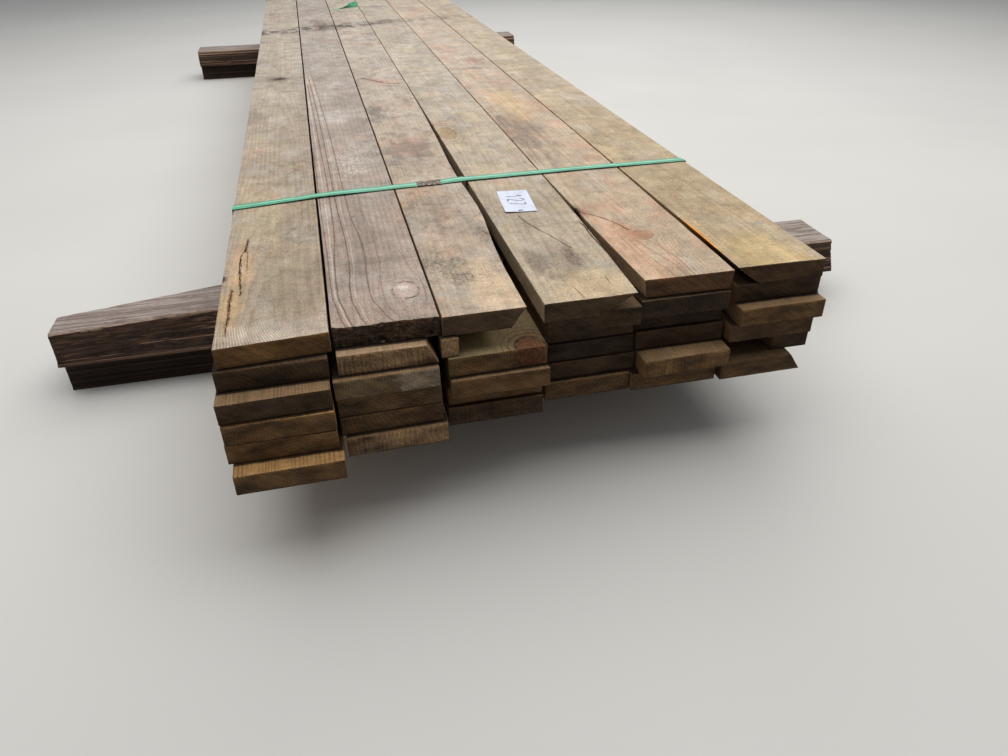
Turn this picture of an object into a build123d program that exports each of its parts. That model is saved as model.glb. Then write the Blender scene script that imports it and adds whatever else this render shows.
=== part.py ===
from build123d import *

from collections import namedtuple
import math
import os

# A strapped pack of rough-sawn planks lying on two pairs of bearer timbers. X runs across the pack,
# Y along the planks with the ragged near ends at -Y, and Z up from the floor.

# Planks: rough-sawn, nominal 2 by 8 inches, 18 feet long, six across and six high
plank_width = 191.0
plank_thickness = 41.0
plank_length = 5486.0
column_gap = 8.0

# Every plank is set down by hand, so each one differs. shift is how far it lies to the right of its
# column's even place, extra is its width beyond the usual one, front is how far back its near end lies
# from the pack's front line, and cut is the angle of that saw cut. Each column runs from the top down.
Plank = namedtuple("Plank", "shift extra front cut")
columns = [
    [
        Plank(2, 3, 0, 3.3),
        Plank(-6, 2, -13, 0.0),
        Plank(-9, 3, -51, 1.1),
        Plank(-7, 2, -59, 0.0),
        Plank(-9, 3, -58, -0.7),
        Plank(-1, 2, -94, 0.0),
    ],
    [
        Plank(1, 0, 12, -0.7),
        Plank(2, -9, -13, 0.0),
        Plank(-10, 0, -29, 0.9),
        Plank(-8, 0, -22, 1.1),
        Plank(-8, 1, -22, 1.0),
        Plank(-2, 0, -34, 0.8),
    ],
    [
        Plank(-4, -3, 7, 0.0),
        Plank(-10, -1, 0, 0.0),
        Plank(1, 0, -4, 0.7),
        Plank(2, 1, -18, 0.0),
        Plank(0, -1, 22, 0.0),
        Plank(-2, 0, 12, -0.2),
    ],
    [
        Plank(-13, 11, 8, 0.4),
        Plank(0, 1, 26, 0.0),
        Plank(4, 0, 66, 0.0),
        Plank(13, -8, 62, 0.2),
        Plank(17, -8, 59, 0.1),
        Plank(4, -8, 47, -0.4),
    ],
    [
        Plank(-8, 20, 52, -1.1),
        Plank(-2, 1, 42, -0.5),
        Plank(2, 0, 72, -1.0),
        Plank(4, 2, 64, -0.3),
        Plank(4, 1, 16, 1.2),
        Plank(-11, -1, 37, -0.6),
    ],
    [
        Plank(7, 3, 56, -1.9),
        Plank(13, 0, 60, -0.1),
        Plank(15, 0, 29, 0.2),
        Plank(3, 0, 40, -0.4),
        Plank(7, 2, 53, 0.0),
        Plank(-12, 1, 28, 0.0),
    ],
]

# Waney edges: how far the log's round side leaves a plank short, as (distance from the near end, inset)
# along its upper face and along its lower face. Keys are the plank's column and layer, from the top left.
Wane = namedtuple("Wane", "upper lower")
no_wane = Wane([], [])
right_wane = {
    (3, 1): Wane(
        [(0, 31), (150, 30), (300, 24), (450, 12), (620, 11), (820, 17), (1000, 12), (1300, 5), (1900, 0)],
        [(0, 60), (150, 56), (300, 46), (450, 30), (620, 27), (820, 32), (1000, 25), (1300, 11), (1900, 0)],
    ),
    (4, 1): Wane([(0, 17), (200, 9), (440, 3), (900, 0)], [(0, 97), (200, 74), (440, 40), (900, 0)]),
    (5, 1): Wane([(0, 8), (400, 4), (1100, 0)], [(0, 12), (400, 7), (1100, 0)]),
    (2, 2): Wane([(0, 22), (300, 14), (700, 0)], [(0, 1), (300, 1), (700, 0)]),
    (6, 6): Wane([(0, 30), (200, 20), (600, 0)], [(0, 2), (200, 1), (600, 0)]),
}
left_wane = {
    (5, 1): Wane([(0, 12), (250, 5), (700, 0)], [(0, 18), (250, 8), (700, 0)]),
    (6, 1): Wane([(0, 1), (150, 1), (420, 0)], [(0, 52), (150, 30), (420, 0)]),
}

# Split ends: a strip of stub width stays on one side, and beside it the end broke away to depth
Split = namedtuple("Split", "stub depth side")
split_ends = {
    (3, 2): Split(33, 330, "left"),
    (6, 5): Split(84, 420, "right"),
}
break_shape = [(0, 1.0), (0.3, 0.9), (0.45, 1.04), (0.75, 0.84), (1, 0.93)]

# Bearers: weathered timbers, nominal 4 by 8 inches, laid flat in pairs, one on the other
bearer_length = 2134.0
bearer_width = 203.0
bearer_height = 89.0
bearer_arris = 6.0
front_bearer_y = 706.0
rear_bearer_y = 4521.0
base_shift = 35.0

# Wear of a top timber: how far its upper front edge is set back, the ledge left below it, and how
# much of its upper back edge has gone, at places along it that are shares of half its length
Wear = namedtuple("Wear", "place front_set ledge_set ledge_height lip_height back_set back_drop")
front_top_wear = [
    Wear(-1.0, 8, 5, 12, 6, 104, 62),
    Wear(-0.6, 54, 38, 52, 6, 8, 8),
    Wear(1.0, 26, 20, 56, 10, 8, 8),
]
rear_top_wear = [
    Wear(-1.0, 30, 6, 58, 8, 12, 8),
    Wear(1.0, 22, 5, 62, 8, 20, 12),
]

# Straps: green polyester band, pulled tight round the pack, its ends lapped and closed with a seal
strap_width = 32.0
strap_thickness = 1.0
strap_clearance = 0.1
strap_bend = 0.2
near_strap_y = [673.0, 704.0, 720.0, 731.0, 735.0, 735.0, 734.0]
far_strap_y = [4804.0, 4802.0, 4800.0, 4798.0, 4796.0, 4794.0, 4792.0]
strap_column = 3
lap_hidden = 45.0
lap_reach = 93.0

# A loose end of strap near the far strap, on edge beside a seam and then twisting down flat on its plank.
# Each place along it is measured from the pack's left side and front line, with the band's tilt there.
Twist = namedtuple("Twist", "x y tilt")
loose_end = [
    Twist(577, 4238, 84),
    Twist(552, 4226, 80),
    Twist(528, 4216, 62),
    Twist(504, 4206, 34),
    Twist(478, 4196, 12),
    Twist(450, 4188, 2),
    Twist(428, 4184, 0),
]

# Seals: folded steel sleeves round both layers of a strap, nipped at their edges by the crimper
seal_length = 62.0
seal_wall = 0.9
seal_fold = 2.6
seal_clearance = 0.15
seal_in_column = 86.0
crimp_radius = 3.0
crimp_depth = 2.0
crimp_spacing = 20.0

# Tag: a paper card lying on the fourth plank
tag_column = 4
tag_width = 76.0
tag_length = 150.0
tag_thickness = 0.4
tag_in_column = 72.0
tag_y = 541.0
tag_turn = -5.0

# Places that follow from the sizes above
column_count = len(columns)
layer_count = len(columns[0])
column_pitch = plank_width + column_gap
left_side = -(column_count * column_pitch - column_gap) / 2
pack_bottom = 2 * bearer_height
pack_top = pack_bottom + layer_count * plank_thickness
fronts = [plank.front for column in columns for plank in column]
front_line = -(min(fronts) + max(fronts) + plank_length) / 2
seal_lift = seal_clearance + seal_wall
strap_reach = 60.0

os.makedirs("parts", exist_ok=True)


def save(piece, name):
    """Label a finished piece and write its file."""
    piece.part.label = name
    export_step(piece.part, f"parts/{name}.step")


def column_left(column):
    """The even left side of a column, counted from 1."""
    return left_side + (column - 1) * column_pitch


def plank_left(column, plank):
    """The plank's own left side."""
    return column_left(column) + plank.shift


def end_y(column, plank, x):
    """Where the plank's near end lies at x, on its slightly slanted saw cut."""
    middle = plank_left(column, plank) + (plank_width + plank.extra) / 2
    return front_line + plank.front + (x - middle) * math.tan(math.radians(plank.cut))


def long_side(column, plank, side_x, inward, wane):
    """One long side from the near end back to where its wane has run out, as a smooth line."""
    if not wane:
        return (side_x, end_y(column, plank, side_x)), (side_x, end_y(column, plank, side_x))
    points = []
    for distance, inset in wane:
        x = side_x + inward * inset
        y = front_line + plank.front + distance
        points.append((x, y if distance else end_y(column, plank, x)))
    Spline(*points, tangents=[Vector(*points[1]) - Vector(*points[0]), (0, 1)])
    return points[0], points[-1]


def plank_outline(column, plank, z, wane_left, wane_right):
    """The plank's outline at height z, straight or drawn in along its waney sides."""
    left_x = plank_left(column, plank)
    right_x = left_x + plank_width + plank.extra
    far_y = front_line + plank.front + plank_length
    with BuildSketch(Plane.XY.offset(z)) as outline:
        with BuildLine():
            left_near, left_far = long_side(column, plank, left_x, 1, wane_left)
            right_near, right_far = long_side(column, plank, right_x, -1, wane_right)
            Line(left_near, right_near)
            Polyline(right_far, (right_x, far_y), (left_x, far_y), left_far)
        make_face()
    return outline.sketch


def broken_part(column, plank, z, split):
    """The outline of the part of a plank's end that broke off along the grain."""
    left_x = plank_left(column, plank)
    right_x = left_x + plank_width + plank.extra
    if split.side == "left":
        stub_x, open_x = left_x + split.stub, right_x + column_gap
    else:
        stub_x, open_x = right_x - split.stub, left_x - column_gap
    near_y = front_line + plank.front
    outside = near_y - plank_thickness
    bottom_of_break = [
        (stub_x + share * (open_x - stub_x), near_y + depth * split.depth) for share, depth in break_shape
    ]
    with BuildSketch(Plane.XY.offset(z)) as part_lost:
        with BuildLine():
            Polyline((stub_x, outside), *bottom_of_break, (open_x, outside), close=True)
        make_face()
    return part_lost.sketch


def make_plank(column, layer, plank):
    """One plank: straight where it was sawn square, and lofted along its waney edges."""
    z = pack_top - layer * plank_thickness
    on_left = left_wane.get((column, layer), no_wane)
    on_right = right_wane.get((column, layer), no_wane)
    lower = plank_outline(column, plank, z, on_left.lower, on_right.lower)
    with BuildPart() as body:
        if on_left.upper or on_right.upper:
            upper = plank_outline(column, plank, z + plank_thickness, on_left.upper, on_right.upper)
            loft([lower, upper], ruled=True)
        else:
            extrude(lower, amount=plank_thickness)
        if (column, layer) in split_ends:
            lost = broken_part(column, plank, z, split_ends[column, layer])
            extrude(lost, amount=plank_thickness, mode=Mode.SUBTRACT)
    return body


def belt(grow, lift_x):
    """The pack's cross-section with a line pulled tight round it, and so much clear of it all round."""
    with BuildSketch() as section:
        for layer, (first, last) in enumerate(zip(columns[0], columns[-1]), start=1):
            left_x = plank_left(1, first)
            right_x = plank_left(column_count, last) + plank_width + last.extra
            with Locations(((left_x + right_x) / 2, pack_top - (layer - 0.5) * plank_thickness)):
                Rectangle(right_x - left_x, plank_thickness)
        with Locations((lift_x, pack_top + seal_lift / 2)):
            Rectangle(seal_length, seal_lift)
        make_hull()
        offset(amount=grow, kind=Kind.INTERSECTION)
        bounds = section.sketch.bounding_box()
        for x in (bounds.min.X, bounds.max.X):
            for y in (bounds.min.Y, bounds.max.Y):
                fillet(section.vertices().sort_by_distance((x, y))[0], radius=grow + strap_bend)
    return section.sketch


def strap_line(distances):
    """The strap's middle line seen from above, from seam to seam and on past both sides."""
    seams = [column_left(number) - column_gap / 2 for number in range(1, column_count + 2)]
    points = [(x, front_line + y) for x, y in zip(seams, distances)]
    before = (points[0][0] - strap_reach, points[0][1])
    after = (points[-1][0] + strap_reach, points[-1][1])
    return [before, *points, after]


def band(line, width):
    """The strip of ground, of this width, that lies below the line."""
    near = [(x, y - width / 2) for x, y in line]
    far = [(x, y + width / 2) for x, y in reversed(line)]
    with BuildSketch(Plane.XY) as strip:
        with BuildLine():
            Polyline(*near, *far, close=True)
        make_face()
    return strip.sketch


def belt_plane(line):
    """The upright plane across the pack, halfway between the line's nearest and farthest points."""
    ys = [y for x, y in line]
    return Plane.XZ.offset(-(min(ys) + max(ys)) / 2), (max(ys) - min(ys)) / 2 + strap_width


def make_strap(line, lift_x):
    """The closed loop of a strap, with its loose end lapped over it through the seal."""
    plane, half_run = belt_plane(line)
    lap_start = lift_x - lap_hidden
    lap_end = lift_x + lap_reach
    lapped = belt(strap_clearance + 2 * strap_thickness, lift_x)
    once = belt(strap_clearance + strap_thickness, lift_x)
    inside = belt(strap_clearance, lift_x)
    with BuildPart() as strap:
        with BuildSketch(plane):
            add(lapped)
            with Locations(((lap_start + lap_end) / 2, pack_top)):
                Rectangle(lap_end - lap_start, pack_top, mode=Mode.INTERSECT)
            add(once)
            add(inside, mode=Mode.SUBTRACT)
        extrude(amount=half_run, both=True)
        extrude(band(line, strap_width), amount=pack_top + strap_width, mode=Mode.INTERSECT)
    return strap


def make_loose_end():
    """The loose end of strap, lofted through its twists, with its lower edge on the plank."""
    before = [loose_end[0], *loose_end[:-1]]
    after = [*loose_end[1:], loose_end[-1]]
    sections = []
    for first, twist, last in zip(before, loose_end, after):
        ahead = Vector(last.x - first.x, last.y - first.y, 0).normalized()
        rise = math.sin(math.radians(twist.tilt))
        lean = math.cos(math.radians(twist.tilt))
        height = pack_top + strap_clearance + (strap_width * rise + strap_thickness * lean) / 2
        plane = Plane(
            origin=(left_side + twist.x, front_line + twist.y, height),
            x_dir=(-ahead.Y * lean, ahead.X * lean, rise),
            z_dir=ahead,
        )
        with BuildSketch(plane) as section:
            Rectangle(strap_width, strap_thickness)
        sections.append(section.sketch)
    with BuildPart() as band_end:
        loft(sections, ruled=True)
    return band_end


def strap_room(line, lift_x):
    """The pack and strap together with clearance, for the groove the strap has pressed in its bearer."""
    plane, half_run = belt_plane(line)
    with BuildPart() as room:
        with BuildSketch(plane):
            add(belt(strap_thickness + 2 * strap_clearance, lift_x))
        extrude(amount=half_run, both=True)
        room_width = strap_width + 2 * strap_clearance
        extrude(band(line, room_width), amount=pack_top + strap_width, mode=Mode.INTERSECT)
    return room


def make_seal(line, lift_x):
    """The steel sleeve closed round both layers of a strap, in line with it."""
    before = max(point for point in line if point[0] < lift_x)
    after = min(point for point in line if point[0] > lift_x)
    slope = (after[1] - before[1]) / (after[0] - before[0])
    middle = (lift_x, before[1] + slope * (lift_x - before[0]), pack_top + seal_clearance)
    plane = Plane(origin=middle, x_dir=(1, slope, 0), z_dir=(0, 0, 1))
    room_width = strap_width + 2 * strap_clearance
    room_height = 2 * strap_thickness + 2 * strap_clearance
    sleeve_width = room_width + 2 * seal_fold
    with BuildPart() as seal:
        with BuildSketch(plane):
            Rectangle(seal_length, sleeve_width)
            for side in (-1, 1):
                with Locations((0, side * (sleeve_width / 2 + crimp_radius - crimp_depth))):
                    with GridLocations(crimp_spacing, 0, 2, 1):
                        Circle(crimp_radius, mode=Mode.SUBTRACT)
        extrude(amount=room_height + 2 * seal_wall)
        with BuildSketch(plane.offset(seal_wall)):
            Rectangle(seal_length, room_width)
        extrude(amount=room_height, mode=Mode.SUBTRACT)
    return seal


def timber_section(front_y, bottom, wear):
    """A worn timber's section at one place along it."""
    top = bottom + bearer_height
    back_y = front_y + bearer_width
    with BuildSketch(Plane.YZ.offset(wear.place * bearer_length / 2)) as section:
        with BuildLine():
            Polyline(
                (front_y, bottom),
                (back_y, bottom),
                (back_y, top - wear.back_drop),
                (back_y - wear.back_set, top),
                (front_y + wear.front_set, top),
                (front_y + wear.ledge_set, bottom + wear.ledge_height),
                (front_y, bottom + wear.lip_height),
                close=True,
            )
        make_face()
    return section.sketch


def make_top_timber(middle_y, stations, room=None):
    """The upper timber of a pair, lofted through its worn sections, grooved where a strap lies on it."""
    front_y = front_line + middle_y - bearer_width / 2
    with BuildPart() as timber:
        loft([timber_section(front_y, bearer_height, wear) for wear in stations], ruled=True)
        if room:
            add(room.part, mode=Mode.SUBTRACT)
    return timber


def make_base_timber(middle_y):
    """The lower timber of a pair, set back from the upper one, with its long upper edges worn off."""
    with BuildPart() as timber:
        with BuildSketch(Plane.XY):
            with Locations((0, front_line + middle_y + base_shift)):
                Rectangle(bearer_length, bearer_width)
        extrude(amount=bearer_height)
        chamfer(timber.faces().sort_by(Axis.Z)[-1].edges().filter_by(Axis.X), bearer_arris)
    return timber


def make_tag():
    """The paper card, lying turned on its plank."""
    middle = (column_left(tag_column) + tag_in_column, front_line + tag_y)
    with BuildPart() as tag:
        with BuildSketch(Plane.XY.offset(pack_top)):
            with Locations(middle):
                Rectangle(tag_width, tag_length, rotation=tag_turn)
        extrude(amount=tag_thickness)
    return tag


for column_number, column in enumerate(columns, start=1):
    for layer_number, plank in enumerate(column, start=1):
        save(make_plank(column_number, layer_number, plank), f"plank_c{column_number}_l{layer_number}")

seal_x = column_left(strap_column) + seal_in_column
near_line = strap_line(near_strap_y)
far_line = strap_line(far_strap_y)
for place, line in (("near", near_line), ("far", far_line)):
    save(make_strap(line, seal_x), f"{place}_strap")
    save(make_seal(line, seal_x), f"{place}_seal")

save(make_top_timber(front_bearer_y, front_top_wear, strap_room(near_line, seal_x)), "front_bearer_top")
save(make_top_timber(rear_bearer_y, rear_top_wear), "rear_bearer_top")
save(make_base_timber(front_bearer_y), "front_bearer_base")
save(make_base_timber(rear_bearer_y), "rear_bearer_base")
save(make_loose_end(), "loose_strap_end")
save(make_tag(), "lot_tag")
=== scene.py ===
import itertools
import math
from collections import namedtuple

import bpy
import numpy as np
from mathutils import Matrix, Vector


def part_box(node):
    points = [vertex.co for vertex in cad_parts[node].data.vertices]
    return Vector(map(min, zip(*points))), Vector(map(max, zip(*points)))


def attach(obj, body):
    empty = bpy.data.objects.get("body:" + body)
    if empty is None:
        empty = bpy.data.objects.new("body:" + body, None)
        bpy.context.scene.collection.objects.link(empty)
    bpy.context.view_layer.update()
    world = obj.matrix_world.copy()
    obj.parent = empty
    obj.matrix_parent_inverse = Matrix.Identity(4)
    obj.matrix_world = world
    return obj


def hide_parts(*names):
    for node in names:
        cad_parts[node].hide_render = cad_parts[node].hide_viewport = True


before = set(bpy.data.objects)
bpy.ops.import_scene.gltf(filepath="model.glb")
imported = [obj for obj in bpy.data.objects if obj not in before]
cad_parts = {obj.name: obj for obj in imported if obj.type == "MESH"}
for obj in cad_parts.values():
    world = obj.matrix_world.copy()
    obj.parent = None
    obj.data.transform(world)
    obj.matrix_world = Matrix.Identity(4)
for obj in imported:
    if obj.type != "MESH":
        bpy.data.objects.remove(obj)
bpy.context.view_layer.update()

# Millimetres, with the pack's own places measured from its left side, front line and upper face
MM = 0.001
PER_METRE = 1000.0
PACK_ORIGIN = np.array([-0.593, -2.732, 0.424])
COLUMN_PITCH = 199.0
LAYER_PITCH = 41.0
ALONG_PACK = np.array([[0.0, 1.0, 0.0]])
UPWARD = np.array([[0.0, 0.0, 1.0]])
FIELD_CELLS = 24


def rgb(red, green, blue):
    """A colour given in the usual 0 to 255 steps, as linear light."""
    steps = [value / 255 for value in (red, green, blue)]
    return tuple(s / 12.92 if s <= 0.04045 else ((s + 0.055) / 1.055) ** 2.4 for s in steps) + (1.0,)


def rough_field(points, size, seed):
    """Smooth random values from -1 to 1 at points, which change over distances of size."""
    grid = np.random.default_rng(seed).uniform(-1, 1, (FIELD_CELLS,) * 3)
    place = np.asarray(points, float) / np.asarray(size, float)
    cell = np.floor(place).astype(int)
    share = place - cell
    share = share * share * (3 - 2 * share)
    total = np.zeros(place.shape[:-1])
    for corner in itertools.product((0, 1), repeat=3):
        weight = np.prod(np.where(np.array(corner), share, 1 - share), axis=-1)
        index = (cell + np.array(corner)) % FIELD_CELLS
        total += weight * grid[index[..., 0], index[..., 1], index[..., 2]]
    return total


def layered_field(points, size, seed, layers=3):
    """Rough field with finer, fainter ones added to it."""
    fields = (
        rough_field(points, np.asarray(size, float) / 2 ** layer, seed + 17 * layer) / 2 ** layer
        for layer in range(layers)
    )
    return sum(fields)


def in_metres(places):
    """The pack's own places as places in the scene."""
    return places * MM + PACK_ORIGIN


def pack_places(node):
    """A CAD node's places, in the pack's own."""
    co = np.array([tuple(vertex.co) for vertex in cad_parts[node].data.vertices])
    return (co - PACK_ORIGIN) * PER_METRE


def unit(vectors):
    """The vectors at length 1."""
    return vectors / np.maximum(np.linalg.norm(vectors, axis=1, keepdims=True), 1e-9)


def make_object(name, places, faces, material, sharp=35):
    """A mesh from places in metres, smooth except along its sharp edges."""
    mesh = bpy.data.meshes.new(name)
    mesh.from_pydata([tuple(place) for place in places], [], faces)
    mesh.validate()
    mesh.materials.append(material)
    mesh.shade_smooth()
    mesh.set_sharp_from_angle(angle=math.radians(sharp))
    made = bpy.data.objects.new(name, mesh)
    bpy.context.scene.collection.objects.link(made)
    return made


def make_piece(name, places, faces, material, sharp, slot_name, *nodes):
    """A mesh from the pack's own places, which goes with the pack and stands for CAD nodes."""
    made = make_object(name, in_metres(places), faces, material, sharp)
    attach(made, "root")
    if nodes:
        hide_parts(*nodes)
    return made


def block_faces(across, up, along):
    """Faces on the outside of a block of places, and the numbers of the outside places."""
    number = -np.ones((across, up, along), int)
    outside = np.zeros((across, up, along), bool)
    outside[[0, -1], :, :] = True
    outside[:, [0, -1], :] = True
    outside[:, :, [0, -1]] = True
    number[outside] = np.arange(outside.sum())

    def sheet(grid, turned):
        corners = [grid[:-1, :-1], grid[1:, :-1], grid[1:, 1:], grid[:-1, 1:]]
        quads = np.stack([corner.ravel() for corner in corners], axis=1)
        return quads[:, ::-1] if turned else quads

    faces = [
        sheet(number[0], True), sheet(number[-1], False),
        sheet(number[:, 0], False), sheet(number[:, -1], True),
        sheet(number[:, :, 0], True), sheet(number[:, :, -1], False),
    ]
    return outside, np.concatenate(faces).tolist()


def tube_faces(count, around, closed=False, reverse=False):
    """Faces of a tube of count rings with this many places around each, capped if it isn't closed."""
    faces = []
    for i in range(count if closed else count - 1):
        here, ahead = i * around, (i + 1) % count * around
        for j in range(around):
            after = (j + 1) % around
            face = (here + j, here + after, ahead + after, ahead + j)
            faces.append((face[0], *face[:0:-1]) if reverse else face)
    if not closed:
        first, last = tuple(range(around)), tuple((count - 1) * around + j for j in range(around))
        faces.extend([first, last[::-1]] if reverse else [first[::-1], last])
    return faces


def join_parts(parts):
    """Several (places, faces) as one."""
    places, faces, count = [], [], 0
    for part_places, part_faces in parts:
        places.append(part_places)
        faces.extend(tuple(count + number for number in face) for face in part_faces)
        count += len(part_places)
    return np.concatenate(places), faces


def spaced(length, first, growth, ends):
    """Distances from 0 to length that grow from first by a share, with the given fine ones at both ends."""
    places = [0.0, *ends]
    step = first
    while places[-1] + step < length - ends[-1]:
        places.append(places[-1] + step)
        step = first + growth * places[-1]
    places.extend(length - end for end in reversed(ends))
    places.append(length)
    return np.array(sorted(set(round(place, 3) for place in places)))


class Finish:
    """A procedural material being built up, node by node."""

    def __init__(self, name, roughness=0.8, metallic=0.0, shine=0.5):
        self.material = bpy.data.materials.new(name)
        self.material.use_nodes = True
        self.tree = self.material.node_tree
        self.tree.nodes.clear()
        self.shader = self.tree.nodes.new("ShaderNodeBsdfPrincipled")
        output = self.tree.nodes.new("ShaderNodeOutputMaterial")
        self.tree.links.new(self.shader.outputs[0], output.inputs["Surface"])
        self.shader.inputs["Roughness"].default_value = roughness
        self.shader.inputs["Metallic"].default_value = metallic
        self.shader.inputs["Specular IOR Level"].default_value = shine
        coordinates = self.tree.nodes.new("ShaderNodeTexCoord")
        scaled = self.vector("SCALE", coordinates.outputs["Object"], scale=PER_METRE)
        self.place = self.vector("ADD", scaled, tuple(-PACK_ORIGIN * PER_METRE))
        self.x, self.y, self.z = self.split(self.place)
        geometry = self.tree.nodes.new("ShaderNodeNewGeometry")
        self.normal = self.split(geometry.outputs["Normal"])

    def put(self, socket, value):
        if isinstance(value, bpy.types.NodeSocket):
            self.tree.links.new(value, socket)
        else:
            socket.default_value = value

    def split(self, vector):
        node = self.tree.nodes.new("ShaderNodeSeparateXYZ")
        self.put(node.inputs[0], vector)
        return node.outputs[0], node.outputs[1], node.outputs[2]

    def join(self, x, y, z):
        node = self.tree.nodes.new("ShaderNodeCombineXYZ")
        for socket, value in zip(node.inputs, (x, y, z)):
            self.put(socket, value)
        return node.outputs[0]

    def math(self, operation, *values, clamp=False):
        node = self.tree.nodes.new("ShaderNodeMath")
        node.operation = operation
        node.use_clamp = clamp
        for socket, value in zip(node.inputs, values):
            self.put(socket, value)
        return node.outputs[0]

    def add(self, *values):
        total = values[0]
        for value in values[1:]:
            total = self.math("ADD", total, value)
        return total

    def times(self, *values):
        total = values[0]
        for value in values[1:]:
            total = self.math("MULTIPLY", total, value)
        return total

    def less(self, value, taken):
        return self.math("SUBTRACT", value, taken)

    def scaled(self, value, factor, added):
        return self.math("MULTIPLY_ADD", value, factor, added)

    def vector(self, operation, *values, scale=None):
        node = self.tree.nodes.new("ShaderNodeVectorMath")
        node.operation = operation
        for socket, value in zip(node.inputs, values):
            self.put(socket, value)
        if scale is not None:
            self.put(node.inputs["Scale"], scale)
        return node.outputs["Value" if operation == "LENGTH" else "Vector"]

    def noise(self, size, seed=0, detail=2.0, rough=0.5, place=None):
        """Noise from about 0 to 1, with its size along X, Y and Z in millimetres."""
        scaled = self.vector("MULTIPLY", place or self.place, tuple(1 / s for s in size))
        moved = self.vector("ADD", scaled, (seed * 7.31, seed * 3.17, seed * 5.73))
        node = self.tree.nodes.new("ShaderNodeTexNoise")
        self.put(node.inputs["Vector"], moved)
        node.inputs["Scale"].default_value = 1.0
        node.inputs["Detail"].default_value = detail
        node.inputs["Roughness"].default_value = rough
        return node.outputs[0]

    def wave(self, size, seed=0, detail=2.0, rough=0.5, place=None):
        """Noise from about -0.5 to 0.5."""
        return self.less(self.noise(size, seed, detail, rough, place), 0.5)

    def step(self, value, low, high, smooth=True):
        """0 below low, 1 above high and a smooth rise between them, or the reverse if low is above high."""
        node = self.tree.nodes.new("ShaderNodeMapRange")
        node.interpolation_type = "SMOOTHSTEP" if smooth else "LINEAR"
        node.clamp = True
        first, last = (0.0, 1.0) if low < high else (1.0, 0.0)
        for socket, number in zip(node.inputs, (value, min(low, high), max(low, high), first, last)):
            self.put(socket, number)
        return node.outputs[0]

    def mix(self, share, first, second, blend="MIX"):
        node = self.tree.nodes.new("ShaderNodeMix")
        node.data_type = "RGBA"
        node.blend_type = blend
        node.clamp_factor = True
        self.put(node.inputs[0], share)
        self.put(node.inputs[6], first)
        self.put(node.inputs[7], second)
        return node.outputs[2]

    def paint(self, colour, new, *shares):
        """A colour with a new one over it, by the product of the shares."""
        return self.mix(self.times(*shares), colour, new)

    def tint(self, colour, *factors):
        """A colour with its red, green and blue multiplied."""
        return self.mix(1.0, colour, (*factors, 1.0), "MULTIPLY")

    def brighten(self, colour, tone):
        """A colour made brighter or darker by a value of the surface."""
        return self.mix(1.0, colour, self.join(tone, tone, tone), "MULTIPLY")

    def line_at(self, points):
        """How far the surface is to the side of a line along the planks, given as (x, y) points."""
        node = self.tree.nodes.new("ShaderNodeFloatCurve")
        low, high = points[0][1], points[-1][1]
        left = min(x for x, y in points) - 1
        right = max(x for x, y in points) + 1
        curve = node.mapping.curves[0]
        spots = [((y - low) / (high - low), (x - left) / (right - left)) for x, y in points]
        curve.points[0].location = spots[0]
        curve.points[1].location = spots[-1]
        for spot in spots[1:-1]:
            curve.points.new(*spot)
        node.mapping.update()
        self.put(node.inputs["Factor"], 1.0)
        self.put(node.inputs["Value"], self.step(self.y, low, high, smooth=False))
        return self.less(self.x, self.scaled(node.outputs[0], right - left, left))

    def spot(self, x, y, wide, long, ragged=0.0, seed=0):
        """Distance from the middle of an oval, 1 at its rim."""
        across = self.times(self.less(self.x, x), 1 / wide)
        along = self.times(self.less(self.y, y), 1 / long)
        distance = self.vector("LENGTH", self.join(across, along, 0.0))
        if not ragged:
            return distance
        return self.scaled(self.wave((wide * 0.5, long * 0.5, wide * 0.5), seed, 3), ragged, distance)

    def finish(self, colour, height=None, strength=0.6, deep=0.6):
        self.put(self.shader.inputs["Base Color"], colour)
        if height is not None:
            bump = self.tree.nodes.new("ShaderNodeBump")
            bump.inputs["Strength"].default_value = strength
            bump.inputs["Distance"].default_value = deep * MM
            self.put(bump.inputs["Height"], height)
            self.tree.links.new(bump.outputs[0], self.shader.inputs["Normal"])
        return self.material


# What makes one plank's wood its own. The pith is (x, depth below the upper face) in the pack's places.
Wood = namedtuple(
    "Wood", "early late end pith ring contrast patches knots spots lines heart strokes torn",
    defaults=(0.3, [], [], [], [], None, False, False)
)
Heart = namedtuple("Heart", "x z radius pale dark rings")
Patch = namedtuple("Patch", "colour size level strength", defaults=(0.5,))
Knot = namedtuple("Knot", "x y wide long inside rim strength rings", defaults=(0.9, 0.7))
Spot = namedtuple("Spot", "colour x y wide long strength ragged speckle", defaults=(0.8, 0.8, 0.0))
Line = namedtuple("Line", "colour points width strength wave broken", defaults=(0.7, 2.0, False))

GREEN_MOULD = rgb(126, 117, 98)
GREY_MOULD = rgb(122, 112, 100)
DARK_STAIN = rgb(72, 62, 54)
PALE_DUST = rgb(186, 181, 174)
PINK_TINT = rgb(196, 152, 130)
GROWTH_LINE = rgb(112, 84, 70)
FAINT_LINE = rgb(126, 98, 84)
RED_LINE = rgb(164, 112, 82)


def drawn_to_knots(finish, knots):
    """The place across the plank that the growth lines see, so that they bend round the knots."""
    x = finish.x
    nearness = []
    for knot in knots:
        distance = finish.spot(knot.x, knot.y, knot.wide, knot.long)
        nearness.append(distance)
        pull = finish.math("EXPONENT", finish.times(distance, distance, -0.35))
        x = finish.less(x, finish.times(finish.less(finish.x, knot.x), pull))
    return x, nearness


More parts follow.
